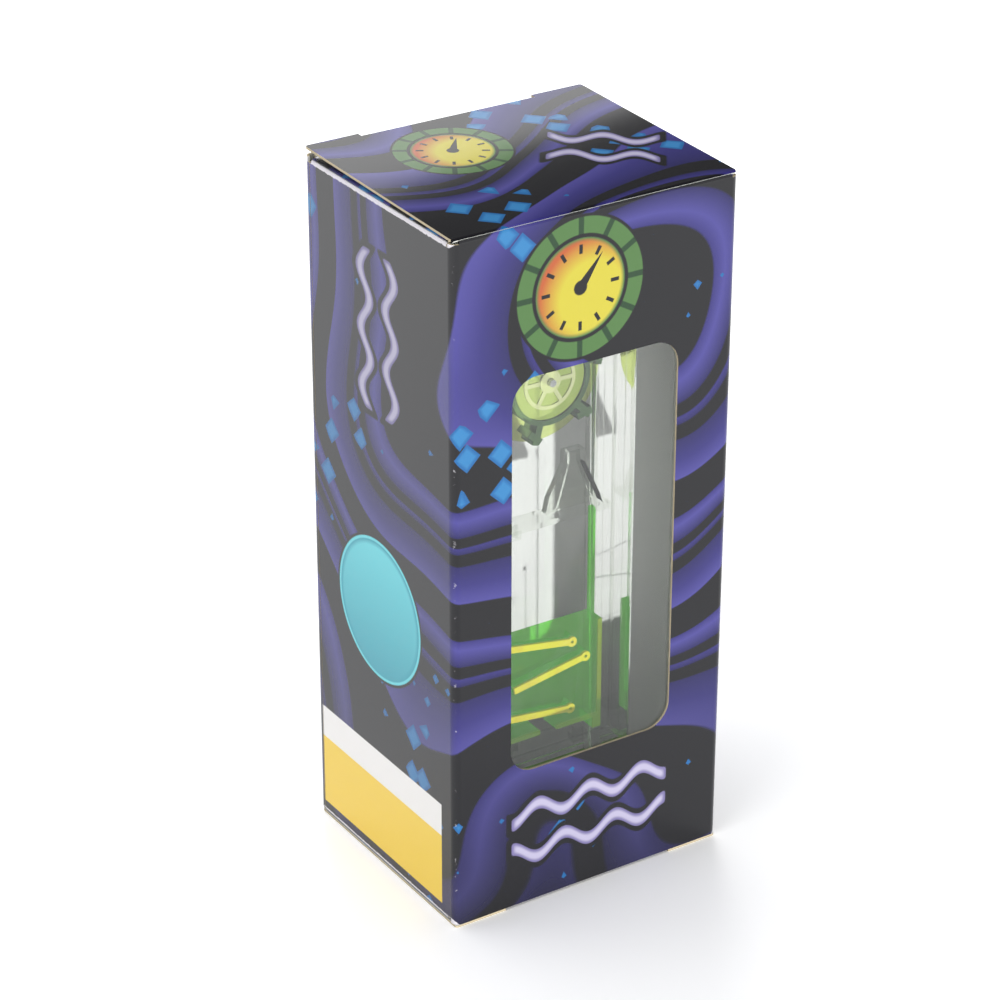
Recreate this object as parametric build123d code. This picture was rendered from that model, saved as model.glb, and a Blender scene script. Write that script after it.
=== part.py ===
from build123d import *

import os
from math import cos, radians, sin

# A liquid motion timer standing in its windowed folding carton.
#
# The carton is one folded board sleeve with a lid, a tuck flap and two dust flaps at each end, and a
# clear film behind its window. The timer is a clear column with a wide base at both ends. Inside the
# column two clear plates make a flat drip chamber with a wheel, a funnel and a block of steps, and
# two nozzle plates part the chamber from a reservoir above and one below.
#
# Lengths are millimetres. +Z is up, -Y is the window side, and the origin is the middle of the
# carton's footprint on the surface that it stands on.

# Carton board, size and folds
carton_width = 65.0
carton_depth = 54.0
carton_height = 150.0
board = 0.5
corner_fold_radius = 1.6
crease_radius = 1.0
crease_slit_deg = 3.0
square_fold_deg = 90.0

# Lid, its flat ears and its tuck flap, alike at both ends
lid_side_gap = 0.25
lid_back_gap = 0.1
lid_ear_length = 12.0
lid_ear_slit = 0.2
lid_ear_radius = 0.6
tuck_length = 13.0
tuck_side_gap = 1.3
tuck_corner_radius = 5.0
tuck_shoulder_drop = 1.6
tuck_fold_radius = 0.8
tuck_slip = 0.25
tuck_lean_deg = 8.5

# Dust flaps
dust_end_gap = 5.2
dust_gap = 0.15
dust_front_gap = 0.4
dust_back_gap = 2.8
dust_taper_deg = 31.0
dust_chamfer = 8.0
dust_corner_radius = 1.5

# How far the shut lid springs up at the top, and how its flaps turn with it
lid_lift_deg = 1.2
tuck_follow_share = 0.1
dust_follow_share = 0.5

# Window and film
window_width = 38.5
window_height = 86.7
window_bottom = 31.7
window_corner_radius = 5.5
film_thickness = 0.2
film_margin = 3.0

# Glue tab inside the left wall, and the seam in front of it
tab_width = 12.0
tab_taper = 4.0
tab_end_gap = 6.0
seam_gap = 0.15
seam_inset = 0.5

# Timer as a whole, and its place in the carton
timer_headspace = 1.6
timer_setback = 10.0
timer_floor_gap = 0.1
timer_fit = 0.05

# Column
case_width = 34.0
case_depth = 28.0
case_wall = 2.0
case_corner_radius = 1.0
case_bore_radius = 0.6

# Bases
base_flange = 7.0
base_front_gap = 2.5
base_back_gap = 8.5
base_plate = 4.0
base_floor = 2.0
base_corner_radius = 5.0
base_bevel = 0.8
base_rim = 3.0
base_recess = 0.8
collar_wall = 2.0
collar_height = 4.0
collar_bevel = 0.5

# Filler plug
plug_hole_radius = 2.5
plug_head_radius = 4.2
plug_head = 0.5
seal_thickness = 0.25
seal_inset = 0.3

# Nozzle plates
nozzle_plate = 1.5
chamber_half_height = 48.75
nozzle_offset = 6.5
nozzle_length = 1.8
nozzle_root_radius = 1.9
nozzle_tip_radius = 1.1
nozzle_bore = 0.6
vent_offset = 9.0
vent_width = 2.2
vent_wall = 0.7
groove_depth = 0.6

# Drip chamber plates
chamber_gap = 9.0
chamber_plate = 1.2
chamber_side_fit = 0.1
port_width = 3.0
port_height = 2.4
port_end_gap = 2.8

# Wheel and axle
wheel_to_nozzle_plate = 15.5
wheel_radius = 14.2
wheel_thickness = 8.2
wheel_disc = 1.0
wheel_void_gap = 0.3
rim_radius = 9.3
rim_wall = 1.1
hub_radius = 2.4
hub_face_setback = 0.9
hub_ring_radius = 6.0
hub_ring_width = 0.8
hub_ring_height = 0.5
hub_spoke = 0.9
paddle_count = 6
paddle_start_deg = -105.0
paddle_reach = 13.4
paddle_thickness = 1.5
paddle_foot = 3.4
paddle_foot_deg = 28.0
axle_radius = 0.8
axle_running_gap = 0.06

# Funnel
funnel_plate = 1.2
funnel_level = 1.75
funnel_offset = 7.0
funnel_width = 12.6
funnel_height = 10.0
funnel_wall = 0.9
neck_width = 4.4
neck_height = 3.0
funnel_foot_cut = 1.6
drain_width = 2.2
drain_wall = 0.6
drain_length = 2.2
drain_offset = 7.5

# Step block
step_width = 26.0
step_height = 23.0
step_wall = 1.0
step_back = 0.8
step_foot_height = 2.5
step_foot_width = 2.0
step_drain_width = 4.0
ramp_thickness = 1.4
ramp_knob_radius = 1.1
knob_bore_radius = 0.35
rail_width = 1.0
rail_depth = 2.2
rail_inset = 0.7
# Each ramp's left end and right end as shares of the block's width from its middle and of its height
ramp_shares = (
    (-0.46, 0.98, 0.22, 0.85),
    (-0.32, 0.53, 0.35, 0.66),
    (-0.46, 0.26, 0.21, 0.17),
)

# Dense liquid
dense_fill_share = 0.615

# How far a cutting body runs past what it cuts
overrun = 1.0

# Sizes that follow from the ones above
dust_drop = board + dust_gap
side_top = carton_height - dust_drop - crease_radius
tuck_fold_deg = square_fold_deg + tuck_lean_deg
dust_length = carton_width / 2 - dust_end_gap - crease_radius * (1 - cos(radians(square_fold_deg / 2)))
timer_bottom = dust_drop + board + timer_floor_gap
timer_height = carton_height - dust_drop - board - timer_headspace - timer_bottom
timer_middle = timer_bottom + timer_height / 2
timer_y = -carton_depth / 2 + timer_setback + case_depth / 2
bore_width = case_width - 2 * case_wall
bore_depth = case_depth - 2 * case_wall
case_bottom = timer_bottom + base_floor
case_length = timer_height - 2 * base_floor
base_width = case_width + 2 * base_flange
base_front = board + base_front_gap - carton_depth / 2
base_back = carton_depth / 2 - board - base_back_gap
base_depth = base_back - base_front
base_offset = (base_front + base_back) / 2 - timer_y
reservoir_height = timer_height / 2 - base_floor - nozzle_plate - chamber_half_height
dense_level = dense_fill_share * reservoir_height
insert_depth = chamber_gap - 2 * chamber_side_fit
wheel_z = timer_middle + chamber_half_height - wheel_to_nozzle_plate
funnel_z = timer_middle + funnel_level
step_bottom = timer_middle - chamber_half_height + step_foot_height


def fold_rise(radius, fold_deg):
    """Height of a fold's outer face above the pivot, which lies halfway round the outer arc."""
    return radius * (1 - cos(radians(fold_deg / 2)))


def fold_run(radius, fold_deg):
    """Distance along the flap from the pivot to where the arc ends and the flat board starts."""
    return radius * sin(radians(fold_deg / 2))


crease_rise = fold_rise(crease_radius, square_fold_deg)
tuck_rise = fold_rise(tuck_fold_radius, tuck_fold_deg)
tuck_fold_start = carton_depth / 2 - board - tuck_slip - tuck_fold_radius
lid_pivot = Pos(0, crease_rise - carton_depth / 2, carton_height - crease_rise)
tuck_pivot = Pos(0, tuck_fold_start + fold_run(tuck_fold_radius, tuck_fold_deg), carton_height - tuck_rise)
dust_root_front = corner_fold_radius + dust_front_gap - carton_depth / 2
dust_root_back = carton_depth / 2 - dust_back_gap
dust_root = dust_root_back - dust_root_front
dust_pivot = Pos(
    carton_width / 2 - crease_rise,
    (dust_root_front + dust_root_back) / 2,
    carton_height - dust_drop - crease_rise,
)
other_end = Pos(0, 0, carton_height / 2) * Rotation(180, 0, 0) * Pos(0, 0, -carton_height / 2)
timer_half_turn = Pos(0, 0, timer_middle) * Rotation(0, 180, 0) * Pos(0, 0, -timer_middle)


def front_slab(outline, front, thickness):
    """An outline of the front view made into a slab, its front face at y = front."""
    return extrude(Plane((0, front, 0), x_dir=(1, 0, 0), z_dir=(0, -1, 0)) * outline, -thickness)


def upright(outline, bottom, height):
    """An outline of the plan view made into a prism that starts at z = bottom."""
    return extrude(Pos(0, 0, bottom) * outline, height)


def cut_rectangle(width, depth, cut):
    """A rectangle with its four corners cut off."""
    return chamfer(Rectangle(width, depth).vertices(), cut)


def fold_sector(radius, fold_deg, start_deg, end_deg, length):
    """Part of a fold's arc, as long as its crease along X, with the pivot at the origin."""
    centre = (fold_run(radius, fold_deg), fold_rise(radius, fold_deg) - radius)
    outer = CenterArc(centre, radius, start_deg, end_deg - start_deg)
    inner = CenterArc(centre, radius - board, start_deg, end_deg - start_deg)
    edges = outer + Line(outer @ 1, inner @ 1) + inner + Line(inner @ 0, outer @ 0)
    return extrude(Plane.YZ * make_face(edges), length / 2, both=True)


def flap_half(radius, fold_deg, length):
    """The half of a fold that turns with the flap, which runs along +Y with its outer face up."""
    return fold_sector(radius, fold_deg, 90, 90 + fold_deg / 2 - crease_slit_deg, length)


def carrier_half(radius, fold_deg, length):
    """The half of a fold that stays with the board that carries the flap."""
    return fold_sector(radius, fold_deg, 90 + fold_deg / 2 + crease_slit_deg, 90 + fold_deg, length)


def flap_board(outline, radius, fold_deg):
    """A flap's flat board, level with the end of its fold."""
    return upright(outline, fold_rise(radius, fold_deg) - board, board)


def span(left, right, near, far):
    """A rectangle between two X and two Y values."""
    return Pos((left + right) / 2, (near + far) / 2) * Rectangle(right - left, far - near)


def sleeve_edges(ring):
    """What the sleeve's four walls carry above the side walls: creases and the back wall's cut edge."""
    half = carton_width / 2
    strip = span(-half, half, -carton_depth / 2, corner_fold_radius - carton_depth / 2)
    front = upright(ring & strip, side_top, dust_drop)
    back = upright(ring & mirror(strip, Plane.XZ), side_top, crease_radius + dust_gap - lid_back_gap)
    crease_length = carton_width - 2 * corner_fold_radius
    lid_crease = lid_pivot * carrier_half(crease_radius, square_fold_deg, crease_length)
    side_crease = carrier_half(crease_radius, square_fold_deg, dust_root)
    side_crease = dust_pivot * Rotation(0, 0, 90) * side_crease
    return front + back + lid_crease + side_crease + mirror(side_crease, Plane.YZ)


def glue_tab():
    """The tab that the back wall folds inside the left wall, with tapered ends."""
    near = carton_depth / 2 - corner_fold_radius
    far = near - tab_width
    top = side_top - tab_end_gap
    bottom = carton_height - top
    outline = Polyline(
        (near, bottom), (near, top), (far, top - tab_taper), (far, bottom + tab_taper), close=True
    )
    return Pos(board - carton_width / 2) * extrude(Plane.YZ * make_face(outline), board)


def carton_sleeve():
    """The four walls of one board, with the window cut out and the seam of its glue tab."""
    outer = RectangleRounded(carton_width, carton_depth, corner_fold_radius)
    inner = RectangleRounded(carton_width - 2 * board, carton_depth - 2 * board, corner_fold_radius - board)
    ring = outer - inner
    walls = upright(ring, carton_height - side_top, 2 * side_top - carton_height)
    edges = sleeve_edges(ring)
    seam_y = carton_depth / 2 - corner_fold_radius - seam_inset
    seam = span(-carton_width / 2 - overrun, board - carton_width / 2, seam_y - seam_gap, seam_y)
    window = Pos(0, window_bottom + window_height / 2) * RectangleRounded(
        window_width, window_height, window_corner_radius
    )
    walls = walls + edges + other_end * edges
    walls -= upright(seam, -overrun, carton_height + 2 * overrun)
    walls -= front_slab(window, -carton_depth / 2 - overrun, board + 2 * overrun)
    return walls + glue_tab()


def window_film():
    """The clear film glued inside the front wall."""
    outline = Rectangle(window_width + 2 * film_margin, window_height + 2 * film_margin)
    outline = Pos(0, window_bottom + window_height / 2) * outline
    return front_slab(outline, board - carton_depth / 2, film_thickness)


def lid():
    """A lid with its hinge fold, two flat ears and the lid's half of the tuck fold, shut."""
    half = carton_width / 2 - lid_side_gap
    start = lid_pivot.position.Y + fold_run(crease_radius, square_fold_deg)
    back = carton_depth / 2 - lid_back_gap
    fold_half_width = half - lid_ear_length - lid_ear_slit
    notch_half = fold_half_width + lid_ear_slit
    panel = span(-half, half, start, back) - span(-notch_half, notch_half, tuck_fold_start, back + overrun)
    ears = panel.vertices().group_by(Axis.Y)[-1].sort_by(Axis.X)
    panel = fillet([ears[0], ears[-1]], lid_ear_radius)
    solid = upright(panel, carton_height - board, board)
    solid += lid_pivot * flap_half(crease_radius, square_fold_deg, 2 * half)
    solid += tuck_pivot * Rotation(-tuck_fold_deg, 0, 0) * carrier_half(
        tuck_fold_radius, tuck_fold_deg, 2 * fold_half_width
    )
    corners = RectangleRounded(2 * half, carton_depth, corner_fold_radius - lid_side_gap)
    front = span(-half, half, -carton_depth / 2, 0)
    outline = (corners & front) + span(-half, half, 0, carton_depth)
    return solid & upright(outline, carton_height / 2, carton_height)


def tuck_flap():
    """The flap that tucks inside the wall opposite the hinge, shut."""
    run = fold_run(tuck_fold_radius, tuck_fold_deg)
    root_half = carton_width / 2 - lid_side_gap - lid_ear_length - lid_ear_slit
    tongue_half = carton_width / 2 - board - tuck_side_gap
    tongue = span(-tongue_half, tongue_half, tuck_shoulder_drop, tuck_length)
    tongue = fillet(tongue.vertices().group_by(Axis.Y)[-1], tuck_corner_radius)
    outline = span(-root_half, root_half, run, tuck_length / 2) + tongue
    flap = flap_board(outline, tuck_fold_radius, tuck_fold_deg)
    flap += flap_half(tuck_fold_radius, tuck_fold_deg, 2 * root_half)
    return tuck_pivot * Rotation(-tuck_fold_deg, 0, 0) * flap


def dust_flap():
    """The right dust flap, tapered beside the lid's hinge and chamfered beside the tuck flap, shut."""
    run = fold_run(crease_radius, square_fold_deg)
    taper = (dust_length - run) * sin(radians(dust_taper_deg)) / cos(radians(dust_taper_deg))
    near, far = -dust_root / 2, dust_root / 2
    outline = make_face(Polyline(
        (near, run), (near + taper, dust_length), (far - dust_chamfer, dust_length),
        (far, dust_length - dust_chamfer), (far, run), close=True,
    ))
    outline = fillet(outline.vertices().group_by(Axis.Y)[-1], dust_corner_radius)
    flap = flap_board(outline, crease_radius, square_fold_deg)
    flap += flap_half(crease_radius, square_fold_deg, dust_root)
    return dust_pivot * Rotation(0, 0, 90) * flap


def turned(shape, pivot, axis, angle_deg):
    """A shape turned about an axis through a pivot."""
    return shape.rotate(Axis(pivot.position, axis), angle_deg)


def closure(lift_deg):
    """The four boards that shut the top, with the lid lifted and its flaps turned with it."""
    cover = turned(lid(), lid_pivot, (1, 0, 0), lift_deg)
    tuck = turned(tuck_flap(), tuck_pivot, (1, 0, 0), lift_deg * tuck_follow_share)
    tuck = turned(tuck, lid_pivot, (1, 0, 0), lift_deg)
    right = turned(dust_flap(), dust_pivot, (0, 1, 0), lift_deg * dust_follow_share)
    return {
        "lid": cover,
        "tuck_flap": tuck,
        "dust_flap_right": right,
        "dust_flap_left": mirror(right, Plane.YZ),
    }


def base_blank():
    """The lower base without its filler hole: a rimmed plate with a collar that takes the column."""
    outline = Pos(0, base_offset) * RectangleRounded(base_width, base_depth, base_corner_radius)
    plate = upright(outline, timer_bottom, base_plate)
    plate = chamfer(plate.faces().sort_by(Axis.Z)[-1].edges(), base_bevel)
    collar_outline = RectangleRounded(
        case_width + 2 * collar_wall, case_depth + 2 * collar_wall, case_corner_radius + collar_wall
    )
    collar = upright(collar_outline, timer_bottom + base_plate, collar_height)
    collar = chamfer(collar.faces().sort_by(Axis.Z)[-1].edges(), collar_bevel)
    socket = upright(
        RectangleRounded(case_width + 2 * timer_fit, case_depth + 2 * timer_fit, case_corner_radius),
        case_bottom,
        base_plate + collar_height,
    )
    recess_outline = Pos(0, base_offset) * cut_rectangle(
        base_width - 2 * base_rim, base_depth - 2 * base_rim, base_corner_radius - base_rim / 2
    )
    recess = upright(recess_outline, timer_bottom - overrun, base_recess + overrun)
    return plate + collar - socket - recess


def lower_base():
    """The base that holds the filler hole."""
    hole = upright(Circle(plug_hole_radius), timer_bottom, base_floor + overrun)
    return base_blank() - hole


def filler_plug():
    """A headed plug pushed in from below."""
    shank_radius = plug_hole_radius - timer_fit
    head_bottom = timer_bottom + base_recess - seal_thickness - plug_head
    head = upright(Circle(plug_head_radius), head_bottom, plug_head)
    shank = upright(Circle(shank_radius), head_bottom + plug_head, case_bottom - head_bottom - plug_head)
    return head + shank


def plug_seal():
    """The washer under the plug's head."""
    ring = Circle(plug_head_radius - seal_inset) - Circle(plug_hole_radius)
    return upright(ring, timer_bottom + base_recess - seal_thickness, seal_thickness)


def outer_case():
    """The column's clear tube."""
    outline = RectangleRounded(case_width, case_depth, case_corner_radius)
    outline -= RectangleRounded(bore_width, bore_depth, case_bore_radius)
    return upright(outline, case_bottom, case_length)


def square_duct(x, bottom, height, width, wall):
    """A square tube from z = bottom with its middle at x, and a cutter for its bore."""
    place = Pos(x)
    tube = upright(place * Rectangle(width + 2 * wall, width + 2 * wall), bottom, height)
    bore = upright(place * Rectangle(width, width), bottom - overrun, height + 2 * overrun)
    return tube, bore


def nozzle_plate_upper():
    """The plate above the chamber, with a dripping nozzle, a vent duct and a groove for each plate."""
    bottom = timer_middle + chamber_half_height
    tip = bottom - nozzle_length
    outline = cut_rectangle(bore_width - 2 * timer_fit, bore_depth - 2 * timer_fit, case_bore_radius)
    plate = upright(outline, bottom, nozzle_plate)
    nozzle = Cone(nozzle_tip_radius, nozzle_root_radius, nozzle_length)
    nozzle = Pos(nozzle_offset, 0, (tip + bottom) / 2) * nozzle
    bore_length = nozzle_length + nozzle_plate + 2 * overrun
    bore = upright(Pos(nozzle_offset) * Circle(nozzle_bore), tip - overrun, bore_length)
    vent, vent_bore = square_duct(-vent_offset, bottom, nozzle_plate + nozzle_length, vent_width, vent_wall)
    groove = upright(chamber_plate_section(timer_fit), bottom - overrun, groove_depth + overrun)
    return plate + nozzle + vent - bore - vent_bore - groove - mirror(groove, Plane.XZ)


def chamber_plate_section(fit):
    """The plan view of the front chamber plate, widened all round by a fit."""
    half = bore_width / 2 - chamber_side_fit + fit
    near = -chamber_gap / 2 - chamber_plate - fit
    return span(-half, half, near, fit - chamber_gap / 2)


def chamber_plate_front():
    """The clear plate before the wheel and the steps, with the axle's hole and two ports for the liquid."""
    bottom = timer_middle - chamber_half_height - groove_depth + timer_fit
    plate = upright(chamber_plate_section(0), bottom, 2 * (timer_middle - bottom))
    port_rise = chamber_half_height - port_end_gap - port_height / 2
    port = Rectangle(port_width, port_height)
    holes = Pos(0, wheel_z) * Circle(axle_radius)
    holes += Pos(-vent_offset, timer_middle + port_rise) * port
    holes += Pos(vent_offset, timer_middle - port_rise) * port
    return plate - front_slab(holes, -chamber_gap, chamber_gap)


def paddle():
    """One paddle in the wheel's own plane, along +X, with its foot bent back clockwise."""
    start = rim_radius - rim_wall / 2
    leg = span(start, paddle_reach, -paddle_thickness / 2, paddle_thickness / 2)
    foot = Rectangle(paddle_thickness, paddle_foot, align=(Align.MAX, Align.MAX))
    foot = Pos(paddle_reach, paddle_thickness / 2) * Rotation(0, 0, -paddle_foot_deg) * foot
    return leg + foot


def wheel_rotor():
    """The drip wheel: a thin disc, a drum with a stepped face and six footed paddles, in one moulding."""
    back = -wheel_thickness / 2
    depth = wheel_thickness - wheel_disc
    disc = upright(Circle(wheel_radius), back, wheel_disc)
    section = Circle(rim_radius)
    for index in range(paddle_count):
        turn = paddle_start_deg + index * 360 / paddle_count
        section += Rotation(0, 0, turn) * paddle()
    dish = Circle(rim_radius - rim_wall) - Circle(hub_radius)
    dish = upright(dish, -back - hub_face_setback, hub_face_setback + overrun)
    ring = Circle(hub_ring_radius) - Circle(hub_ring_radius - hub_ring_width)
    spoke = Rectangle(hub_ring_radius - hub_ring_width / 2, hub_spoke, align=(Align.MIN, Align.CENTER))
    for index in range(paddle_count):
        ring += Rotation(0, 0, index * 360 / paddle_count) * spoke
    raised = upright(ring, -back - hub_face_setback, hub_ring_height)
    bore = upright(Circle(axle_radius + axle_running_gap), back - overrun, wheel_thickness + 2 * overrun)
    wheel = disc + upright(section, back + wheel_disc, depth) - dish + raised - bore
    return Pos(0, 0, wheel_z) * Rotation(90, 0, 0) * wheel


def wheel_axle():
    """The pin that the wheel turns on, from plate to plate."""
    length = chamber_gap + 2 * chamber_plate
    return Pos(0, 0, wheel_z) * Rotation(90, 0, 0) * Cylinder(axle_radius - timer_fit / 2, length)


def funnel_outline(half_foot, half_neck, top):
    """One view of the funnel: a hood that narrows from its foot to a straight neck."""
    return make_face(Polyline(
        (-half_foot, 0), (half_foot, 0), (half_neck, funnel_height), (half_neck, top),
        (-half_neck, top), (-half_neck, funnel_height), close=True,
    ))


def funnel_shell(inset, top_overrun):
    """The funnel's outer or inner form: a flat hood with cut corners that narrows to a square neck."""
    half_neck = neck_width / 2 - inset
    top = funnel_height + neck_height + top_overrun
    front = Plane.XZ * funnel_outline(funnel_width / 2 - inset, half_neck, top)
    side = Plane.YZ * funnel_outline(insert_depth / 2 - inset, half_neck, top)
    foot = cut_rectangle(funnel_width - 2 * inset, insert_depth - 2 * inset, funnel_foot_cut)
    hood = extrude(front, insert_depth, both=True) & extrude(side, funnel_width, both=True)
    return hood & upright(foot, 0, top)


def drip_funnel():
    """The cross plate in mid-chamber, with an offset funnel above it and a drain duct below it."""
    half = bore_width / 2 - chamber_side_fit
    plate = upright(span(-half, half, -insert_depth / 2, insert_depth / 2), -funnel_plate, funnel_plate)
    drain, drain_bore = square_duct(
        -drain_offset, -funnel_plate - drain_length, funnel_plate + drain_length, drain_width, drain_wall
    )
    mouth = cut_rectangle(funnel_width - 2 * funnel_wall, insert_depth - 2 * funnel_wall, funnel_foot_cut)
    hollow = upright(mouth, -funnel_plate - overrun, funnel_plate + overrun)
    hollow += funnel_shell(funnel_wall, overrun)
    funnel = plate + drain - drain_bore
    funnel = funnel + Pos(funnel_offset) * funnel_shell(0, 0) - Pos(funnel_offset) * hollow
    return Pos(0, 0, funnel_z + funnel_plate) * funnel


def ramp(left_x, left_z, right_x, right_z):
    """One sloping step with a round knob at its right end, from its ends as shares."""
    ends = [
        Vector(left_x * step_width, step_bottom + left_z * step_height),
        Vector(right_x * step_width, step_bottom + right_z * step_height),
    ]
    slope = ends[1] - ends[0]
    turn = Vector(1, 0).get_signed_angle(slope, Vector(0, 0, 1))
    middle = (ends[0] + ends[1]) / 2
    bar = Pos(middle.X, middle.Y) * Rotation(0, 0, turn) * Rectangle(slope.length, ramp_thickness)
    return bar + Pos(ends[1].X, ends[1].Y) * Circle(ramp_knob_radius)


def step_block():
    """The moulded block of steps: walls, a thin back, three ramps, two feet and two side rails."""
    half = step_width / 2
    top = step_bottom + step_height
    front = -insert_depth / 2
    frame = span(-half, half, step_bottom, top)
    hollow = span(step_wall - half, half - step_wall, step_bottom + step_wall, top + overrun)
    drain_half = step_drain_width / 2
    drain = span(-drain_half, drain_half, step_bottom - overrun, step_bottom + 2 * step_wall)
    outline = frame - hollow - drain
    for shares in ramp_shares:
        outline += ramp(*shares) & frame
    foot = span(-half, step_foot_width - half, step_bottom - step_foot_height, step_bottom)
    outline += foot + mirror(foot, Plane.YZ)
    block = front_slab(outline, front, insert_depth)
    block += front_slab(frame - drain, -front - step_back, step_back)
    rail = span(half - rail_inset - rail_width, half - rail_inset, top - step_wall, funnel_z)
    rails = front_slab(rail + mirror(rail, Plane.YZ), -rail_depth / 2, rail_depth)
    return block + rails


def knob_bores():
    """The blind holes in the middle of the ramps' knobs, which the liquid doesn't enter."""
    hole = front_slab(Circle(knob_bore_radius), -insert_depth / 2 - overrun, insert_depth / 2 + overrun)
    return [
        Pos(shares[2] * step_width, 0, step_bottom + shares[3] * step_height) * hole for shares in ramp_shares
    ]


def dense_liquid():
    """The heavy coloured liquid, settled in the lower reservoir."""
    return upright(RectangleRounded(bore_width, bore_depth, case_bore_radius), case_bottom, dense_level)


def clear_liquid(inner_pieces):
    """The light liquid that fills the rest of the column, with room for the wheel to turn."""
    fill = upright(
        RectangleRounded(bore_width, bore_depth, case_bore_radius),
        case_bottom + dense_level,
        case_length - dense_level,
    )
    void = Cylinder(wheel_radius + wheel_void_gap, chamber_gap)
    fill -= Pos(0, 0, wheel_z) * Rotation(90, 0, 0) * void
    for piece in inner_pieces:
        fill -= piece
    return fill


def timer_parts():
    """Every piece of the timer, on the carton's middle line and before it is set to its depth."""
    upper = nozzle_plate_upper()
    plate = chamber_plate_front()
    inner = {
        "upper_nozzle_plate": upper,
        "lower_nozzle_plate": timer_half_turn * upper,
        "chamber_front_plate": plate,
        "chamber_back_plate": mirror(plate, Plane.XZ),
        "drip_funnel": drip_funnel(),
        "step_block": step_block(),
        "wheel_axle": wheel_axle(),
    }
    shell = {
        "outer_case": outer_case(),
        "lower_base": lower_base(),
        "upper_base": timer_half_turn * base_blank(),
        "filler_plug": filler_plug(),
        "plug_seal": plug_seal(),
        "dense_liquid": dense_liquid(),
        "clear_liquid": clear_liquid(inner.values()),
        "wheel_rotor": wheel_rotor(),
    }
    inner["step_block"] -= knob_bores()
    return {**inner, **shell}


def build():
    """Every node of the object by name."""
    nodes = {"carton_sleeve": carton_sleeve(), "window_film": window_film()}
    for name, shape in closure(lid_lift_deg).items():
        nodes[f"top_{name}"] = shape
    for name, shape in closure(0).items():
        nodes[f"bottom_{name}"] = other_end * shape
    for name, shape in timer_parts().items():
        nodes[name] = Pos(0, timer_y) * shape
    return nodes


os.makedirs("parts", exist_ok=True)
for name, shape in build().items():
    export_step(shape, f"parts/{name}.step")
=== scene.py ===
import logging
import math
from dataclasses import dataclass
from enum import Enum

import bmesh
import bpy
from mathutils import Matrix, Vector


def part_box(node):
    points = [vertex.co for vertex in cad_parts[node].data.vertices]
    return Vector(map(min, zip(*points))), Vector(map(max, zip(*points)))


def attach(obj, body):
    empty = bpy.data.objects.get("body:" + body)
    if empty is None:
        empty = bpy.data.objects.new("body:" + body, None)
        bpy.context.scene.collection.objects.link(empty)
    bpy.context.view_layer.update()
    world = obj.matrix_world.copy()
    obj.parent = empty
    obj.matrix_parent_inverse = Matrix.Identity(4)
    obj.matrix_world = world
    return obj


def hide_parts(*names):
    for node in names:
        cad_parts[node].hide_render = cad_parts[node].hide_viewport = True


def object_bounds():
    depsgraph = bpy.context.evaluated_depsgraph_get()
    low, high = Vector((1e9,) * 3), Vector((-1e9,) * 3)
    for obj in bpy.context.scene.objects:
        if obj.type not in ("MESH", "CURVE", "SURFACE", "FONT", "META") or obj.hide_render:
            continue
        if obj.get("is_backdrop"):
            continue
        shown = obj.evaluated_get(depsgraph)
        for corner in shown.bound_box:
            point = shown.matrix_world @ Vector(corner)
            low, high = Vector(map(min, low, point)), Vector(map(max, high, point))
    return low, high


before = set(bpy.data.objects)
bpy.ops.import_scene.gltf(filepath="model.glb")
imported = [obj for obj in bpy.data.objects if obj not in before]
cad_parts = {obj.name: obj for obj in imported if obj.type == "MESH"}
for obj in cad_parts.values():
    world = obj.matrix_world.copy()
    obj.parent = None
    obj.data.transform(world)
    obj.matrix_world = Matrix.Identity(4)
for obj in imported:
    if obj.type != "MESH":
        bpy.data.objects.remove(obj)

# The looks of a liquid motion timer in its windowed carton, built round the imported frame.
# Lengths in the classes are millimetres, and MM turns them into the scene's metres.

log = logging.getLogger("boxed_timer")
MM = 0.001


class Panel(Enum):
    """The printed boards, which differ in how the print runs over them."""

    SLEEVE = "sleeve"
    LID = "lid"
    DUST_FLAP = "dust_flap"
    TUCK_FLAP = "tuck_flap"


class End(Enum):
    """The carton's ends, with the sign of their outward direction."""

    TOP = 1.0
    BOTTOM = -1.0


def colour(code: str, alpha: float = 1.0) -> tuple[float, float, float, float]:
    """Turns an sRGB hex code into a linear colour.

    Args:
        code: Six hex digits.
        alpha: The colour's alpha.

    Returns:
        Linear red, green and blue, and the alpha.
    """
    parts = [int(code[i : i + 2], 16) / 255 for i in (0, 2, 4)]
    linear = [c / 12.92 if c <= 0.04045 else ((c + 0.055) / 1.055) ** 2.4 for c in parts]
    return (*linear, alpha)


def add(tree: bpy.types.NodeTree, kind: str, *inputs: object, **settings: object) -> bpy.types.Node:
    """Adds a shader node with its settings, and fills its inputs in order.

    Args:
        tree: The node tree.
        kind: The node's type without its ShaderNode prefix.
        inputs: A value, a socket, a node (its first output is linked) or None to skip one. One
            dictionary of input names to such values may stand in their place.
        settings: The node's own properties.

    Returns:
        The new node.
    """
    node = tree.nodes.new("ShaderNode" + kind)
    for name, value in settings.items():
        setattr(node, name, value)
    pairs = list(zip(node.inputs, inputs))
    if inputs and isinstance(inputs[0], dict):
        pairs = [(node.inputs[name], value) for name, value in inputs[0].items()]
    for socket, value in pairs:
        if isinstance(value, bpy.types.Node):
            tree.links.new(value.outputs[0], socket)
        elif isinstance(value, bpy.types.NodeSocket):
            tree.links.new(value, socket)
        elif value is not None:
            socket.default_value = value
    return node


def new_material(name: str) -> tuple[bpy.types.Material, bpy.types.NodeTree]:
    """Makes a material whose node tree is empty.

    Args:
        name: The finish's name.

    Returns:
        The material and its node tree.
    """
    material = bpy.data.materials.new(name)
    material.use_nodes = True
    material.node_tree.nodes.clear()
    return material, material.node_tree


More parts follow.
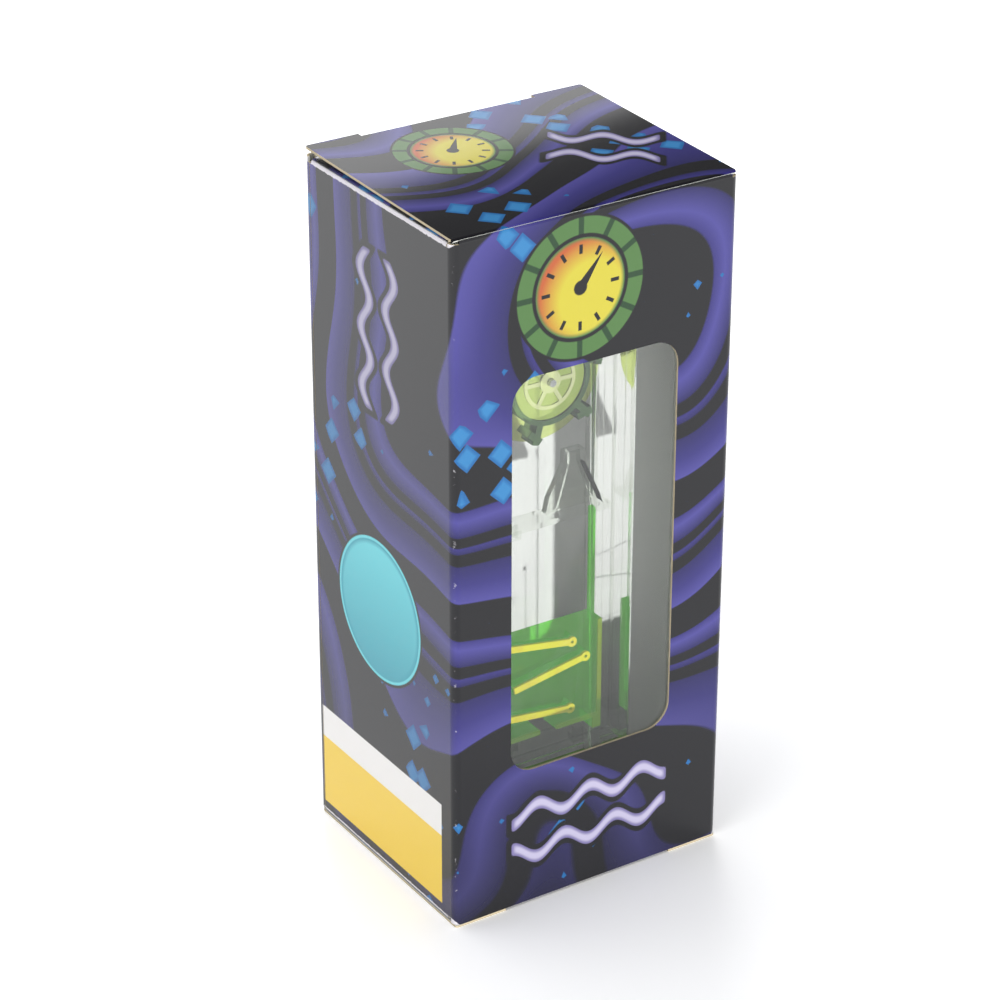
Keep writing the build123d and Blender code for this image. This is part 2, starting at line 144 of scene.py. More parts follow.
def dress(node: str, material: bpy.types.Material) -> None:
    """Gives a CAD node its material.

    Args:
        node: The CAD node's name.
        material: Its finish.
    """
    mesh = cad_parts[node].data
    mesh.materials.clear()
    mesh.materials.append(material)
    log.info("dressed %s in %s", node, material.name)


def millimetres(tree: bpy.types.NodeTree) -> bpy.types.Node:
    """Reads where a point lies on the object, in millimetres.

    Args:
        tree: The node tree.

    Returns:
        A node whose first output is the point.
    """
    where = add(tree, "TexCoord")
    return add(tree, "VectorMath", {0: where.outputs["Object"], "Scale": 1 / MM}, operation="SCALE")


def seen_directly(tree: bpy.types.NodeTree) -> bpy.types.Node:
    """Finds the rays that show the background: the camera's own, mirrored and refracted ones.

    Args:
        tree: The node tree.

    Returns:
        A node whose result is 1 for these rays.
    """
    rays = add(tree, "LightPath").outputs
    seen = add(tree, "Math", rays["Is Camera Ray"], rays["Is Glossy Ray"], operation="MAXIMUM")
    return add(tree, "Math", seen, rays["Is Transmission Ray"], operation="MAXIMUM")


def lets_light_by(tree: bpy.types.NodeTree, shader: bpy.types.Node) -> bpy.types.Node:
    """Keeps a clear finish from shading what lies behind it.

    Args:
        tree: The node tree.
        shader: The clear finish.

    Returns:
        The shader that shadow rays and soft bounced light pass.
    """
    rays = add(tree, "LightPath").outputs
    passed = add(tree, "Math", rays["Is Shadow Ray"], rays["Is Diffuse Ray"], operation="MAXIMUM")
    open_way = add(tree, "BsdfTransparent", {"Color": colour("FDFDFD")})
    return add(tree, "MixShader", passed, shader, open_way)


def new_piece(
    name: str, shape: bmesh.types.BMesh, material: bpy.types.Material, body: str
) -> bpy.types.Object:
    """Turns a finished bmesh into a piece that rides on a body.

    Args:
        name: The piece's name.
        shape: Its mesh, in metres and in place. It is freed.
        material: Its finish.
        body: The CAD body that carries it.

    Returns:
        The piece.
    """
    bmesh.ops.recalc_face_normals(shape, faces=shape.faces)
    mesh = bpy.data.meshes.new(name)
    shape.to_mesh(mesh)
    shape.free()
    mesh.materials.append(material)
    piece = bpy.data.objects.new(name, mesh)
    bpy.context.scene.collection.objects.link(piece)
    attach(piece, body)
    log.info("made %s on %s", name, body)
    return piece


@dataclass(frozen=True)
class CartonPrint:
    """Offset ink under a gloss varnish: deep violet and black ripples with blue and teal accents.

    Coordinates run over the unfolded carton: u to the right of the front wall's middle line, and v up
    from its foot.
    """

    violet: str = "2B2768"
    deep_violet: str = "1D1A4F"
    bright_violet: str = "413D82"
    ink_black: str = "0B0B10"
    blue: str = "155A92"
    pale_blue: str = "2A72A6"
    teal: str = "2C97A8"
    pale_teal: str = "62C9D2"
    leaf_green: str = "466A38"
    dark_green: str = "1B3A1F"
    dial_yellow: str = "B7AC36"
    dial_orange: str = "A8522A"
    block_yellow: str = "E9C53A"
    block_white: str = "E6E4E2"
    wave_pale: str = "A9A4BC"
    wave_shade: str = "6F6892"
    # Each dial's middle and size, the front wall's first
    dials: tuple[tuple[tuple[float, float], float], ...] = (
        ((-4.0, 134.2), 1.0), ((123.0, 128.0), 1.0), ((-9.0, 187.0), 0.82),
    )
    dial_radius: float = 14.3
    dial_face_radius: float = 9.6
    # The pale spot's middle on a dial's face, the twelve marks' and ticks' sizes, and the hand's
    glow_centre: tuple[float, float] = (2.6, -2.2)
    mark_half_width: float = 1.15
    tick_half_width: float = 0.75
    tick_span: tuple[float, float] = (0.8, 2.7)
    hand_deg: float = 52.0
    hand_half_width: float = 0.95
    hand_taper: float = 0.13
    hub_radius: float = 1.5
    disc_centre: tuple[float, float] = (-60.5, 60.5)
    disc_radius: float = 15.0
    block_centre: tuple[float, float] = (-61.0, 15.2)
    block_half_size: tuple[float, float] = (23.5, 11.7)
    block_split: float = 4.4
    ripple_width: float = 40.0
    # Up to this height the rings are darkened towards black, by this share at the foot: a painted shade.
    painted_shade_height: float = 48.0
    painted_foot_shade: float = 0.72
    drift_size: float = 75.0
    drift_turns: float = 2.2
    diamond_spacing: float = 9.0
    diamond_cluster: float = 30.0
    # Where in the cluster noise the diamonds start and are full. Sizes are shares of their spacing.
    diamond_onset: tuple[float, float] = (0.57, 0.72)
    diamond_size: float = 0.34
    diamond_rim: float = 0.10
    diamond_edge: float = 0.012
    # Each wave pair's middle, half length and turn in degrees
    wave_pairs: tuple[tuple[tuple[float, float], float, float], ...] = (
        ((0.0, 17.0), 19.0, 0.0), ((-59.5, 121.0), 17.0, 90.0), ((59.5, 121.0), 17.0, 90.0),
        ((119.0, 17.0), 19.0, 0.0), ((17.0, 173.5), 11.0, -35.0),
    )
    wave_length: float = 12.6
    wave_swing: float = 1.7
    wave_spacing: float = 4.6
    wave_width: float = 1.5
    wave_outline: float = 1.3
    wave_end_round: float = 1.2

    def group(self) -> bpy.types.NodeTree:
        """Builds the artwork as one node group from a place on the print to its ink colour.

        Returns:
            The node group, with a vector input in millimetres and a colour output.
        """
        tree = bpy.data.node_groups.new("carton_print", "ShaderNodeTree")
        tree.interface.new_socket("Place", in_out="INPUT", socket_type="NodeSocketVector")
        tree.interface.new_socket("Ink", in_out="OUTPUT", socket_type="NodeSocketColor")
        place = tree.nodes.new("NodeGroupInput").outputs[0]
        ink = self.ripples(tree, place)
        ink = self.diamonds(tree, place, ink)
        ink = self.plain_disc(tree, place, ink)
        ink = self.two_tone_block(tree, place, ink)
        for centre, half_length, turn in self.wave_pairs:
            ink = self.waves(tree, place, ink, centre, half_length, math.radians(turn))
        for centre, scale in self.dials:
            ink = self.dial(tree, place, ink, centre, scale)
        tree.links.new(ink, tree.nodes.new("NodeGroupOutput").inputs[0])
        return tree

    def stamp(
        self, tree: bpy.types.NodeTree, below: object, above: object, distance: object, limit: float,
        spread: float = 0.12,
    ) -> bpy.types.NodeSocket:
        """Prints one ink over another wherever a distance is below a limit, with a slight ink spread.

        Args:
            tree: The node tree.
            below: The ink underneath, a socket or a hex code.
            above: The ink on top, a socket or a hex code.
            distance: The distance in millimetres.
            limit: The printed shape's edge.
            spread: How far the ink spreads to each side of the edge.

        Returns:
            The combined ink.
        """
        below, above = (colour(ink) if isinstance(ink, str) else ink for ink in (below, above))
        mask = add(tree, "MapRange", distance, limit - spread, limit + spread, 1.0, 0.0)
        return add(tree, "Mix", {0: mask, 6: below, 7: above}, data_type="RGBA").outputs[2]

    def ripples(self, tree: bpy.types.NodeTree, place: object) -> bpy.types.NodeSocket:
        """Draws wide rings round the dial, in violet and black of uneven widths.

        Args:
            tree: The node tree.
            place: Where on the print.

        Returns:
            The ground colour.
        """
        (u0, v0), _ = self.dials[0]
        drift = add(tree, "TexNoise", {
            "Vector": place, "Scale": 1 / self.drift_size, "Detail": 0.6, "Roughness": 0.35,
        }, noise_dimensions="2D")
        distance = add(tree, "VectorMath", place, (u0, v0, 0), operation="DISTANCE")
        turns = add(tree, "Math", distance.outputs["Value"], 1 / self.ripple_width, operation="MULTIPLY")
        turns = add(tree, "Math", drift.outputs[0], self.drift_turns, turns, operation="MULTIPLY_ADD")
        phase = add(tree, "Math", turns, operation="FRACT")
        ramp = add(tree, "ValToRGB", phase)
        # Broad soft violet bands alternate with hard black ones, as in poured paint.
        black, deep, violet, bright = self.ink_black, self.deep_violet, self.violet, self.bright_violet
        stops = (
            (0.00, black), (0.22, black), (0.23, violet), (0.29, bright), (0.40, deep), (0.41, black),
            (0.48, black), (0.49, violet), (0.53, deep), (0.54, black), (0.63, black), (0.64, deep),
            (0.79, violet), (0.93, bright), (0.94, black), (1.00, black),
        )
        elements = ramp.color_ramp.elements
        elements[0].color = colour(stops[0][1])
        elements[1].color = colour(stops[-1][1])
        for position, code in stops[1:-1]:
            elements.new(position).color = colour(code)
        # A painted shade darkens the rings towards black near the foot.
        height = add(tree, "SeparateXYZ", place).outputs[1]
        shade = add(tree, "MapRange", height, 0.0, self.painted_shade_height, self.painted_foot_shade, 0.0)
        darker = {0: shade, 6: ramp.outputs[0], 7: colour(self.ink_black)}
        return add(tree, "Mix", darker, data_type="RGBA").outputs[2]

    def diamonds(self, tree: bpy.types.NodeTree, place: object, ink: object) -> bpy.types.NodeSocket:
        """Scatters small blue diamonds with a paler core, in loose clusters.

        Args:
            tree: The node tree.
            place: Where on the print.
            ink: The ink underneath.

        Returns:
            The combined ink.
        """
        cells = add(
            tree, "TexVoronoi", {"Vector": place, "Scale": 1 / self.diamond_spacing, "Randomness": 0.75},
            voronoi_dimensions="2D", distance="MANHATTAN",
        )
        cluster = add(tree, "TexNoise", {
            "Vector": place, "Scale": 1 / self.diamond_cluster, "Detail": 0.0,
        }, noise_dimensions="2D")
        size = add(tree, "MapRange", cluster, *self.diamond_onset, 0.0, self.diamond_size)
        gap = add(tree, "Math", cells.outputs["Distance"], size, operation="SUBTRACT")
        core = add(tree, "Math", gap, self.diamond_rim, operation="ADD")
        spot = self.stamp(tree, self.blue, self.pale_blue, core, 0.0, self.diamond_rim / 2)
        return self.stamp(tree, ink, spot, gap, 0.0, self.diamond_edge)

    def plain_disc(self, tree: bpy.types.NodeTree, place: object, ink: object) -> bpy.types.NodeSocket:
        """Draws the plain teal disc with a pale rim on the left wall.

        Args:
            tree: The node tree.
            place: Where on the print.
            ink: The ink underneath.

        Returns:
            The combined ink.
        """
        u0, v0 = self.disc_centre
        distance = add(tree, "VectorMath", place, (u0, v0, 0), operation="DISTANCE").outputs["Value"]
        height = add(tree, "SeparateXYZ", place).outputs[1]
        fade = add(tree, "MapRange", height, v0 - self.disc_radius, v0 + self.disc_radius, 0.0, 1.0)
        tones = {0: fade, 6: colour(self.teal), 7: colour(self.pale_teal)}
        fill = add(tree, "Mix", tones, data_type="RGBA").outputs[2]
        ink = self.stamp(tree, ink, self.ink_black, distance, self.disc_radius + 1.2)
        ink = self.stamp(tree, ink, self.pale_teal, distance, self.disc_radius + 0.6)
        ink = self.stamp(tree, ink, self.teal, distance, self.disc_radius)
        return self.stamp(tree, ink, fill, distance, self.disc_radius - 0.7, 0.5)

    def two_tone_block(self, tree: bpy.types.NodeTree, place: object, ink: object) -> bpy.types.NodeSocket:
        """Draws the plain white and yellow block near the foot of the left wall.

        Args:
            tree: The node tree.
            place: Where on the print.
            ink: The ink underneath.

        Returns:
            The combined ink.
        """
        u0, v0 = self.block_centre
        offset = add(tree, "VectorMath", place, (u0, v0, 0), operation="SUBTRACT")
        size = add(tree, "VectorMath", offset, operation="ABSOLUTE")
        beyond = add(tree, "VectorMath", size, (*self.block_half_size, 0), operation="SUBTRACT")
        parts = add(tree, "SeparateXYZ", beyond)
        gap = add(tree, "Math", parts.outputs[0], parts.outputs[1], operation="MAXIMUM")
        height = add(tree, "SeparateXYZ", offset).outputs[1]
        upper = add(tree, "MapRange", height, self.block_split - 0.1, self.block_split + 0.1, 0.0, 1.0)
        tones = {0: upper, 6: colour(self.block_yellow), 7: colour(self.block_white)}
        fill = add(tree, "Mix", tones, data_type="RGBA").outputs[2]
        return self.stamp(tree, ink, fill, gap, 0.0)

    def waves(
        self, tree: bpy.types.NodeTree, place: object, ink: object, centre: tuple[float, float],
        half_length: float, turn: float,
    ) -> bpy.types.NodeSocket:
        """Draws two pale waves that mirror each other, with a dark outline.

        Args:
            tree: The node tree.
            place: Where on the print.
            ink: The ink underneath.
            centre: The middle of the pair.
            half_length: Half the waves' length.
            turn: How far the pair is turned, in radians.

        Returns:
            The combined ink.
        """
        offset = add(tree, "VectorMath", place, (*centre, 0), operation="SUBTRACT")
        turned = add(tree, "VectorRotate", {"Vector": offset, "Angle": -turn}, rotation_type="Z_AXIS")
        parts = add(tree, "SeparateXYZ", turned)
        angle = add(tree, "Math", parts.outputs[0], 2 * math.pi / self.wave_length, operation="MULTIPLY")
        swing = add(tree, "Math", angle, operation="COSINE")
        mirrored = add(tree, "Math", parts.outputs[1], operation="ABSOLUTE")
        level = add(tree, "Math", swing, -self.wave_swing, mirrored, operation="MULTIPLY_ADD")
        level = add(tree, "Math", level, self.wave_spacing, operation="SUBTRACT")
        away = add(tree, "Math", level, operation="ABSOLUTE")
        beyond = add(tree, "Math", parts.outputs[0], operation="ABSOLUTE")
        beyond = add(tree, "Math", beyond, half_length - self.wave_width, operation="SUBTRACT")
        gap = add(tree, "Math", away, beyond, self.wave_end_round, operation="SMOOTH_MAX")
        ink = self.stamp(tree, ink, self.ink_black, gap, self.wave_width + self.wave_outline, 0.2)
        ink = self.stamp(tree, ink, self.wave_shade, gap, self.wave_width)
        return self.stamp(tree, ink, self.wave_pale, gap, self.wave_width * 0.55, 0.35)

    def dial(
        self, tree: bpy.types.NodeTree, place: object, ink: object, centre: tuple[float, float], scale: float
    ) -> bpy.types.NodeSocket:
        """Draws a plain dial: a green ring with twelve marks round a yellow and orange face with a hand.

        Args:
            tree: The node tree.
            place: Where on the print.
            ink: The ink underneath.
            centre: The dial's middle.
            scale: The dial's size, 1 for the front wall's.

        Returns:
            The combined ink.
        """
        offset = add(tree, "VectorMath", place, (*centre, 0), operation="SUBTRACT")
        offset = add(tree, "VectorMath", {0: offset, "Scale": 1 / scale}, operation="SCALE")
        radius = add(tree, "VectorMath", offset, operation="LENGTH").outputs["Value"]
        parts = add(tree, "SeparateXYZ", offset)
        angle = add(tree, "Math", parts.outputs[1], parts.outputs[0], operation="ARCTAN2")
        hours = add(tree, "Math", angle, 6 / math.pi, operation="MULTIPLY")
        nearest = add(tree, "Math", hours, operation="ROUND")
        swing = add(tree, "Math", hours, nearest, operation="SUBTRACT")
        swing = add(tree, "Math", swing, operation="ABSOLUTE")
        arc = add(tree, "Math", swing, radius, operation="MULTIPLY")
        lit = add(tree, "VectorMath", offset, (*self.glow_centre, 0), operation="DISTANCE").outputs["Value"]
        inner = self.dial_face_radius
        face = self.stamp(tree, self.dial_orange, self.dial_yellow, lit, inner, 2.4)
        ring = self.stamp(tree, self.leaf_green, self.dark_green, arc, self.mark_half_width, 0.2)
        ink = self.stamp(tree, ink, self.ink_black, radius, self.dial_radius + 0.6)
        ink = self.stamp(tree, ink, ring, radius, self.dial_radius)
        ink = self.stamp(tree, ink, self.ink_black, radius, inner + 1.3)
        ink = self.stamp(tree, ink, self.leaf_green, radius, inner + 0.5)
        ink = self.stamp(tree, ink, face, radius, inner, 0.4)
        # The twelve ticks are rays between two radii.
        ray = add(tree, "MapRange", arc, self.tick_half_width - 0.1, self.tick_half_width + 0.1, 1.0, 0.0)
        start, end = inner - self.tick_span[1], inner - self.tick_span[0]
        before_end = add(tree, "MapRange", radius, end - 0.12, end + 0.12, 1.0, 0.0)
        before_start = add(tree, "MapRange", radius, start - 0.12, start + 0.12, 1.0, 0.0)
        tick = add(tree, "Math", ray, before_end, operation="MULTIPLY")
        tick = add(tree, "Math", tick, before_start, operation="SUBTRACT")
        tick = add(tree, "Math", tick, 0.0, operation="MAXIMUM")
        black = colour(self.ink_black)
        ink = add(tree, "Mix", {0: tick, 6: ink, 7: black}, data_type="RGBA").outputs[2]
        # The hand narrows from the hub outwards, on one side of the middle only.
        turned = add(tree, "VectorRotate", {
            "Vector": offset, "Angle": math.radians(-self.hand_deg),
        }, rotation_type="Z_AXIS")
        hand = add(tree, "SeparateXYZ", turned)
        width = add(tree, "Math", hand.outputs[1], operation="ABSOLUTE")
        taper = add(tree, "Math", hand.outputs[0], self.hand_taper, width, operation="MULTIPLY_ADD")
        half = self.hand_half_width
        shown = add(tree, "MapRange", taper, half - 0.12, half + 0.12, 1.0, 0.0)
        shown = add(tree, "Math", shown, hand.outputs[0], operation="MULTIPLY")
        shown = add(tree, "Math", shown, 0.0, operation="GREATER_THAN")
        ink = add(tree, "Mix", {0: shown, 6: ink, 7: black}, data_type="RGBA").outputs[2]
        return self.stamp(tree, ink, self.ink_black, radius, self.hub_radius)


@dataclass(frozen=True)
class BoardFinish:
    """Coated folding board: printed and varnished outside, bare white inside, cream at its cut edges.

    A point within the skin's depth of the outside may be printed. The pale line along a fold, partly ink
    cracked off and partly a painted highlight, starts and ends at two distances from a fold, and has a
    strength.
    """

    inner_white: str = "EBECE9"
    cut_edge: str = "BDB095"
    # The pale colour along folds and upright corners: cracked ink, and a painted highlight.
    wear_and_highlight_white: str = "E4E0E6"
    flap_print_start: float = 260.0
    skin: float = 2.0
    fibre_size: float = 1 / 3
    sway_size: float = 28.0
    sway: float = 14.0
    # The pale line's start, end and strength at sleeve folds, lid hinges and upright corners; it is partly a
    # painted highlight.
    fold_wear_and_highlight: tuple[float, float, float] = (1.5, 2.1, 0.85)
    hinge_wear_and_highlight: tuple[float, float, float] = (0.4, 0.8, 0.40)
    upright_wear_and_highlight: tuple[float, float, float] = (0.9, 1.3, 0.34)
    varnish_roughness: float = 0.16
    bare_roughness: float = 0.62
    wall_gloss: float = 1.0
    lid_gloss: float = 0.15
    wall_haze: float = 0.16
    lid_haze: float = 0.06

    def material(
        self, panel: Panel, end: End, artwork: bpy.types.NodeTree, carton: "Carton"
    ) -> bpy.types.Material:
        """Makes one board's finish.

        Args:
            panel: Which kind of board, which decides how the print runs over it.
            end: The carton's end that the board belongs to.
            artwork: The print's node group.
            carton: The carton, for its sizes.

        Returns:
            The material.
        """
        material, tree = new_material(f"varnished_board_{panel.value}_{end.name.lower()}")
        spot = millimetres(tree)
        at = add(tree, "SeparateXYZ", spot)
        facing = add(tree, "SeparateXYZ", add(tree, "TexCoord").outputs["Normal"])
        if panel is Panel.SLEEVE:
            place, printed, bare = self.sleeve_masks(tree, at, facing, carton)
        elif panel is Panel.LID:
            place, printed, bare = self.lid_masks(tree, at, facing, carton, end)
        else:
            place, printed, bare = self.flap_masks(tree, at, facing, panel, end)
        ink = add(tree, "Group", place, node_tree=artwork)
        # The pale line along the folds, partly a painted highlight, is laid over the ink.
        wear_and_highlight_mask = self.wear_and_highlight(tree, spot, at, carton, panel, end)
        shown = add(tree, "Mix", {0: wear_and_highlight_mask, 6: ink.outputs[0], 7: colour(self.wear_and_highlight_white)}, data_type="RGBA")
        base = add(tree, "Mix", {0: printed, 6: colour(self.cut_edge), 7: shown.outputs[2]}, data_type="RGBA")
        base = add(tree, "Mix", {0: bare, 6: base.outputs[2], 7: colour(self.inner_white)}, data_type="RGBA")
        rough = add(tree, "MapRange", printed, 0.0, 1.0, self.bare_roughness, self.varnish_roughness)
        # Board is pressed fibre under the coat: a fine tooth, and a slow sway that bends the gloss.
        fibres = add(tree, "TexNoise", {"Vector": spot, "Scale": 1 / self.fibre_size, "Detail": 3.0})
        sway = add(tree, "TexNoise", {"Vector": spot, "Scale": 1 / self.sway_size, "Detail": 1.0})
        level = add(tree, "Math", sway.outputs[0], self.sway, fibres.outputs[0], operation="MULTIPLY_ADD")
        bump = add(tree, "Bump", {"Height": level, "Distance": 0.035 * MM, "Strength": 0.6})
        # The walls' varnish is thick and a little hazy. The lids' is thin and smooth, so that a pale
        # light is mirrored in it with a clear edge and the black beside it stays deep.
        sheen = self.lid_gloss if panel is Panel.LID else self.wall_gloss
        haze = self.lid_haze if panel is Panel.LID else self.wall_haze
        coat = add(tree, "Math", printed, sheen, operation="MULTIPLY")
        shader = add(tree, "BsdfPrincipled", {
            "Base Color": base.outputs[2], "Roughness": rough, "Normal": bump, "IOR": 1.5,
            "Specular IOR Level": 0.0, "Coat Weight": coat, "Coat Roughness": haze, "Coat IOR": 1.5,
        })
        add(tree, "OutputMaterial", shader)
        return material

    def sleeve_masks(
        self, tree: bpy.types.NodeTree, at: bpy.types.Node, facing: bpy.types.Node, carton: "Carton"
    ) -> tuple[bpy.types.Node, bpy.types.Node, bpy.types.Node]:
        """Finds where the sleeve is printed and where it is bare, and unrolls its four walls.

        Args:
            tree: The node tree.
            at: The point, split, in millimetres.
            facing: The surface's direction, split.
            carton: The carton, for its sizes.

        Returns:
            The place on the print, the printed mask and the bare inner mask.
        """
        x, y, z = at.outputs
        side = add(tree, "Math", x, operation="SIGN")
        end = add(tree, "Math", y, operation="SIGN")
        out_x = add(tree, "Math", facing.outputs[0], side, operation="MULTIPLY")
        out_y = add(tree, "Math", facing.outputs[1], end, operation="MULTIPLY")
        near_x = add(tree, "Math", x, operation="ABSOLUTE")
        near_y = add(tree, "Math", y, operation="ABSOLUTE")
        skin_x = add(tree, "Math", near_x, carton.width / 2 - self.skin, operation="GREATER_THAN")
        skin_y = add(tree, "Math", near_y, carton.depth / 2 - self.skin, operation="GREATER_THAN")
        out_x = add(tree, "Math", out_x, skin_x, operation="MULTIPLY")
        out_y = add(tree, "Math", out_y, skin_y, operation="MULTIPLY")
        out = add(tree, "Math", out_x, out_y, operation="MAXIMUM")
        inward = add(tree, "Math", out_x, out_y, operation="MINIMUM")
        printed = add(tree, "Math", out, 0.3, operation="GREATER_THAN")
        inner = add(tree, "Math", inward, -0.6, operation="LESS_THAN")
        not_printed = add(tree, "Math", 1.0, printed, operation="SUBTRACT")
        bare = add(tree, "Math", inner, not_printed, operation="MULTIPLY")
        back = add(tree, "Math", y, carton.depth / 2, operation="ADD")
        u = add(tree, "Math", side, back, x, operation="MULTIPLY_ADD")
        rear = add(tree, "Math", facing.outputs[1], 0.7, operation="GREATER_THAN")
        rear_u = add(tree, "Math", carton.width + carton.depth, x, operation="SUBTRACT")
        u = add(tree, "Mix", {0: rear, 2: u, 3: rear_u}, data_type="FLOAT")
        place = add(tree, "CombineXYZ", u, z, 0.0)
        return place, printed, bare

    def lid_masks(
        self, tree: bpy.types.NodeTree, at: bpy.types.Node, facing: bpy.types.Node, carton: "Carton", end: End
    ) -> tuple[bpy.types.Node, bpy.types.Node, bpy.types.Node]:
        """Finds where a lid is printed and where it is bare, and unrolls it from its hinge.

        Args:
            tree: The node tree.
            at: The point, split, in millimetres.
            facing: The surface's direction, split.
            carton: The carton, for its sizes.
            end: The carton's end.

        Returns:
            The place on the print, the printed mask and the bare inner mask.
        """
        x, y, z = at.outputs
        sign = end.value
        up = add(tree, "Math", facing.outputs[2], sign, operation="MULTIPLY")
        front = add(tree, "Math", facing.outputs[1], -sign, operation="MULTIPLY")
        at_hinge = add(tree, "Math", y, -sign * (carton.depth / 2 - self.skin), operation="SUBTRACT")
        at_hinge = add(tree, "Math", at_hinge, -sign, operation="MULTIPLY")
        at_hinge = add(tree, "Math", at_hinge, 0.0, operation="GREATER_THAN")
        front = add(tree, "Math", front, at_hinge, operation="MULTIPLY")
        out = add(tree, "Math", up, front, operation="MAXIMUM")
        printed = add(tree, "Math", out, 0.3, operation="GREATER_THAN")
        bare = add(tree, "Math", up, -0.3, operation="LESS_THAN")
        back = add(tree, "Math", y, sign, carton.depth / 2, operation="MULTIPLY_ADD")
        v = add(tree, "Math", back, carton.height, operation="ADD")
        place = add(tree, "CombineXYZ", x, v, 0.0)
        return place, printed, bare

    def flap_masks(
        self, tree: bpy.types.NodeTree, at: bpy.types.Node, facing: bpy.types.Node, panel: Panel, end: End
    ) -> tuple[bpy.types.Node, bpy.types.Node, bpy.types.Node]:
        """Finds where a flap is printed and where it is bare, from the side that it turns outwards.

        Args:
            tree: The node tree.
            at: The point, split, in millimetres.
            facing: The surface's direction, split.
            panel: The dust flap, which faces up or down, or the tuck flap, which faces a wall.
            end: The carton's end.

        Returns:
            The place on the print, the printed mask and the bare inner mask.
        """
        x, y, z = at.outputs
        across = facing.outputs[2] if panel is Panel.DUST_FLAP else facing.outputs[1]
        out = add(tree, "Math", across, end.value, operation="MULTIPLY")
        printed = add(tree, "Math", out, 0.3, operation="GREATER_THAN")
        bare = add(tree, "Math", out, -0.3, operation="LESS_THAN")
        u = add(tree, "Math", x, self.flap_print_start, operation="ADD")
        v = add(tree, "Math", y, z, operation="ADD")
        return add(tree, "CombineXYZ", u, v, 0.0), printed, bare

    def wear_and_highlight(
        self, tree: bpy.types.NodeTree, spot: bpy.types.Node, at: bpy.types.Node, carton: "Carton",
        panel: Panel, end: End,
    ) -> bpy.types.Node:
        """Finds the pale line along the folds: cracked ink, with a painted highlight. A lid has it only where
        it folds.

        Args:
            tree: The node tree.
            spot: The point in millimetres.
            at: The same point, split.
            carton: The carton, for its sizes.
            panel: Which board.
            end: The carton's end.

        Returns:
            A mask that is 1 where the ink is off or the painted highlight lies.
        """
        x, y, z = at.outputs
        middle = add(tree, "Math", z, -carton.height / 2, operation="ADD")
        high = add(tree, "Math", middle, operation="ABSOLUTE")
        near_x = add(tree, "Math", x, operation="ABSOLUTE")
        near_y = add(tree, "Math", y, operation="ABSOLUTE")
        dx = add(tree, "Math", carton.width / 2, near_x, operation="SUBTRACT")
        dy = add(tree, "Math", carton.depth / 2, near_y, operation="SUBTRACT")
        dz = add(tree, "Math", carton.height / 2, high, operation="SUBTRACT")
        corner = add(tree, "Math", dx, dy, operation="ADD")
        hinge = add(tree, "Math", y, end.value, carton.depth / 2, operation="MULTIPLY_ADD")
        across = dx if panel is Panel.SLEEVE else hinge
        fold = add(tree, "Math", across, dz, operation="ADD")
        fold_wear_and_highlight = self.fold_wear_and_highlight if panel is Panel.SLEEVE else self.hinge_wear_and_highlight
        fold = add(tree, "MapRange", fold, *fold_wear_and_highlight, 0.0)
        upright = add(tree, "MapRange", corner, *self.upright_wear_and_highlight, 0.0)
        wear_and_highlight = add(tree, "Math", fold, upright, operation="MAXIMUM")
        # Ink cracks off a fold in specks about a millimetre long, and a painted highlight lies along it too;
        # together they show as a broken pale line.
        grain = add(tree, "TexNoise", {"Vector": spot, "Scale": 0.8, "Detail": 4.0, "Roughness": 0.7})
        pale_line_level = add(tree, "Math", wear_and_highlight, grain.outputs[0], operation="SUBTRACT")
        return add(tree, "MapRange", pale_line_level, -0.08, 0.14, 0.0, 0.8)


@dataclass(frozen=True)
class ClearFinish:
    """Polished cast acrylic filled with clear oil of nearly the same index: it bends what lies behind."""

    name: str = "cast_acrylic"
    index: float = 1.46
    tint: str = "FDFDFD"
    veil: float = 0.0
    scuffs: float = 0.02
    scuff_length: float = 9.0
    scuff_width: float = 0.6

    def material(self) -> bpy.types.Material:
        """Makes the finish. Light passes straight through to what lies inside.

        Returns:
            The material.
        """
        material, tree = new_material(self.name)
        spot = millimetres(tree)
        along = (1 / self.scuff_width, 1 / self.scuff_width, 1 / self.scuff_length)
        streaks = add(tree, "Mapping", {"Vector": spot, "Rotation": (0.0, 0.35, 0.0), "Scale": along})
        rubs = add(tree, "TexNoise", {"Vector": streaks, "Scale": 1.0, "Detail": 2.0})
        # Polished acrylic is clean, and long faint rubs from handling catch the light on it.
        rubbed = add(tree, "MapRange", rubs, 0.5, 0.72, self.veil, self.veil + self.scuffs)
        glass = add(tree, "BsdfGlass", {"Color": colour(self.tint), "Roughness": 0.0, "IOR": self.index})
        veil = add(tree, "BsdfDiffuse", {"Color": colour("DDE0E0")})
        add(tree, "OutputMaterial", lets_light_by(tree, add(tree, "MixShader", rubbed, glass, veil)))
        return material


@dataclass(frozen=True)
class FilmFinish:
    """Clear packing film with a faint haze and soft ripples."""

    tint: str = "FCFDFC"
    haze: float = 0.035
    ripple_size: float = 16.0

    def material(self) -> bpy.types.Material:
        """Makes the film's finish.

        Returns:
            The material.
        """
        material, tree = new_material("clear_blown_packing_film")
        # Blown film is clear with a breath of haze, and its soft ripples bend what it mirrors.
        sway = add(tree, "TexNoise", {
            "Vector": millimetres(tree), "Scale": 1 / self.ripple_size, "Detail": 1.0,
        })
        bump = add(tree, "Bump", {"Height": sway.outputs[0], "Distance": 0.8 * MM, "Strength": 0.5})
        clear = add(tree, "BsdfTransparent", {"Color": colour(self.tint)})
        gloss = add(tree, "BsdfGlossy", {"Color": colour("FFFFFF"), "Roughness": 0.06, "Normal": bump})
        edge = add(tree, "Fresnel", {"IOR": 1.45, "Normal": bump})
        veil = add(tree, "BsdfDiffuse", {"Color": colour("E8ECEC")})
        body = add(tree, "MixShader", self.haze, clear, veil)
        add(tree, "OutputMaterial", add(tree, "MixShader", edge, body, gloss))
        return material


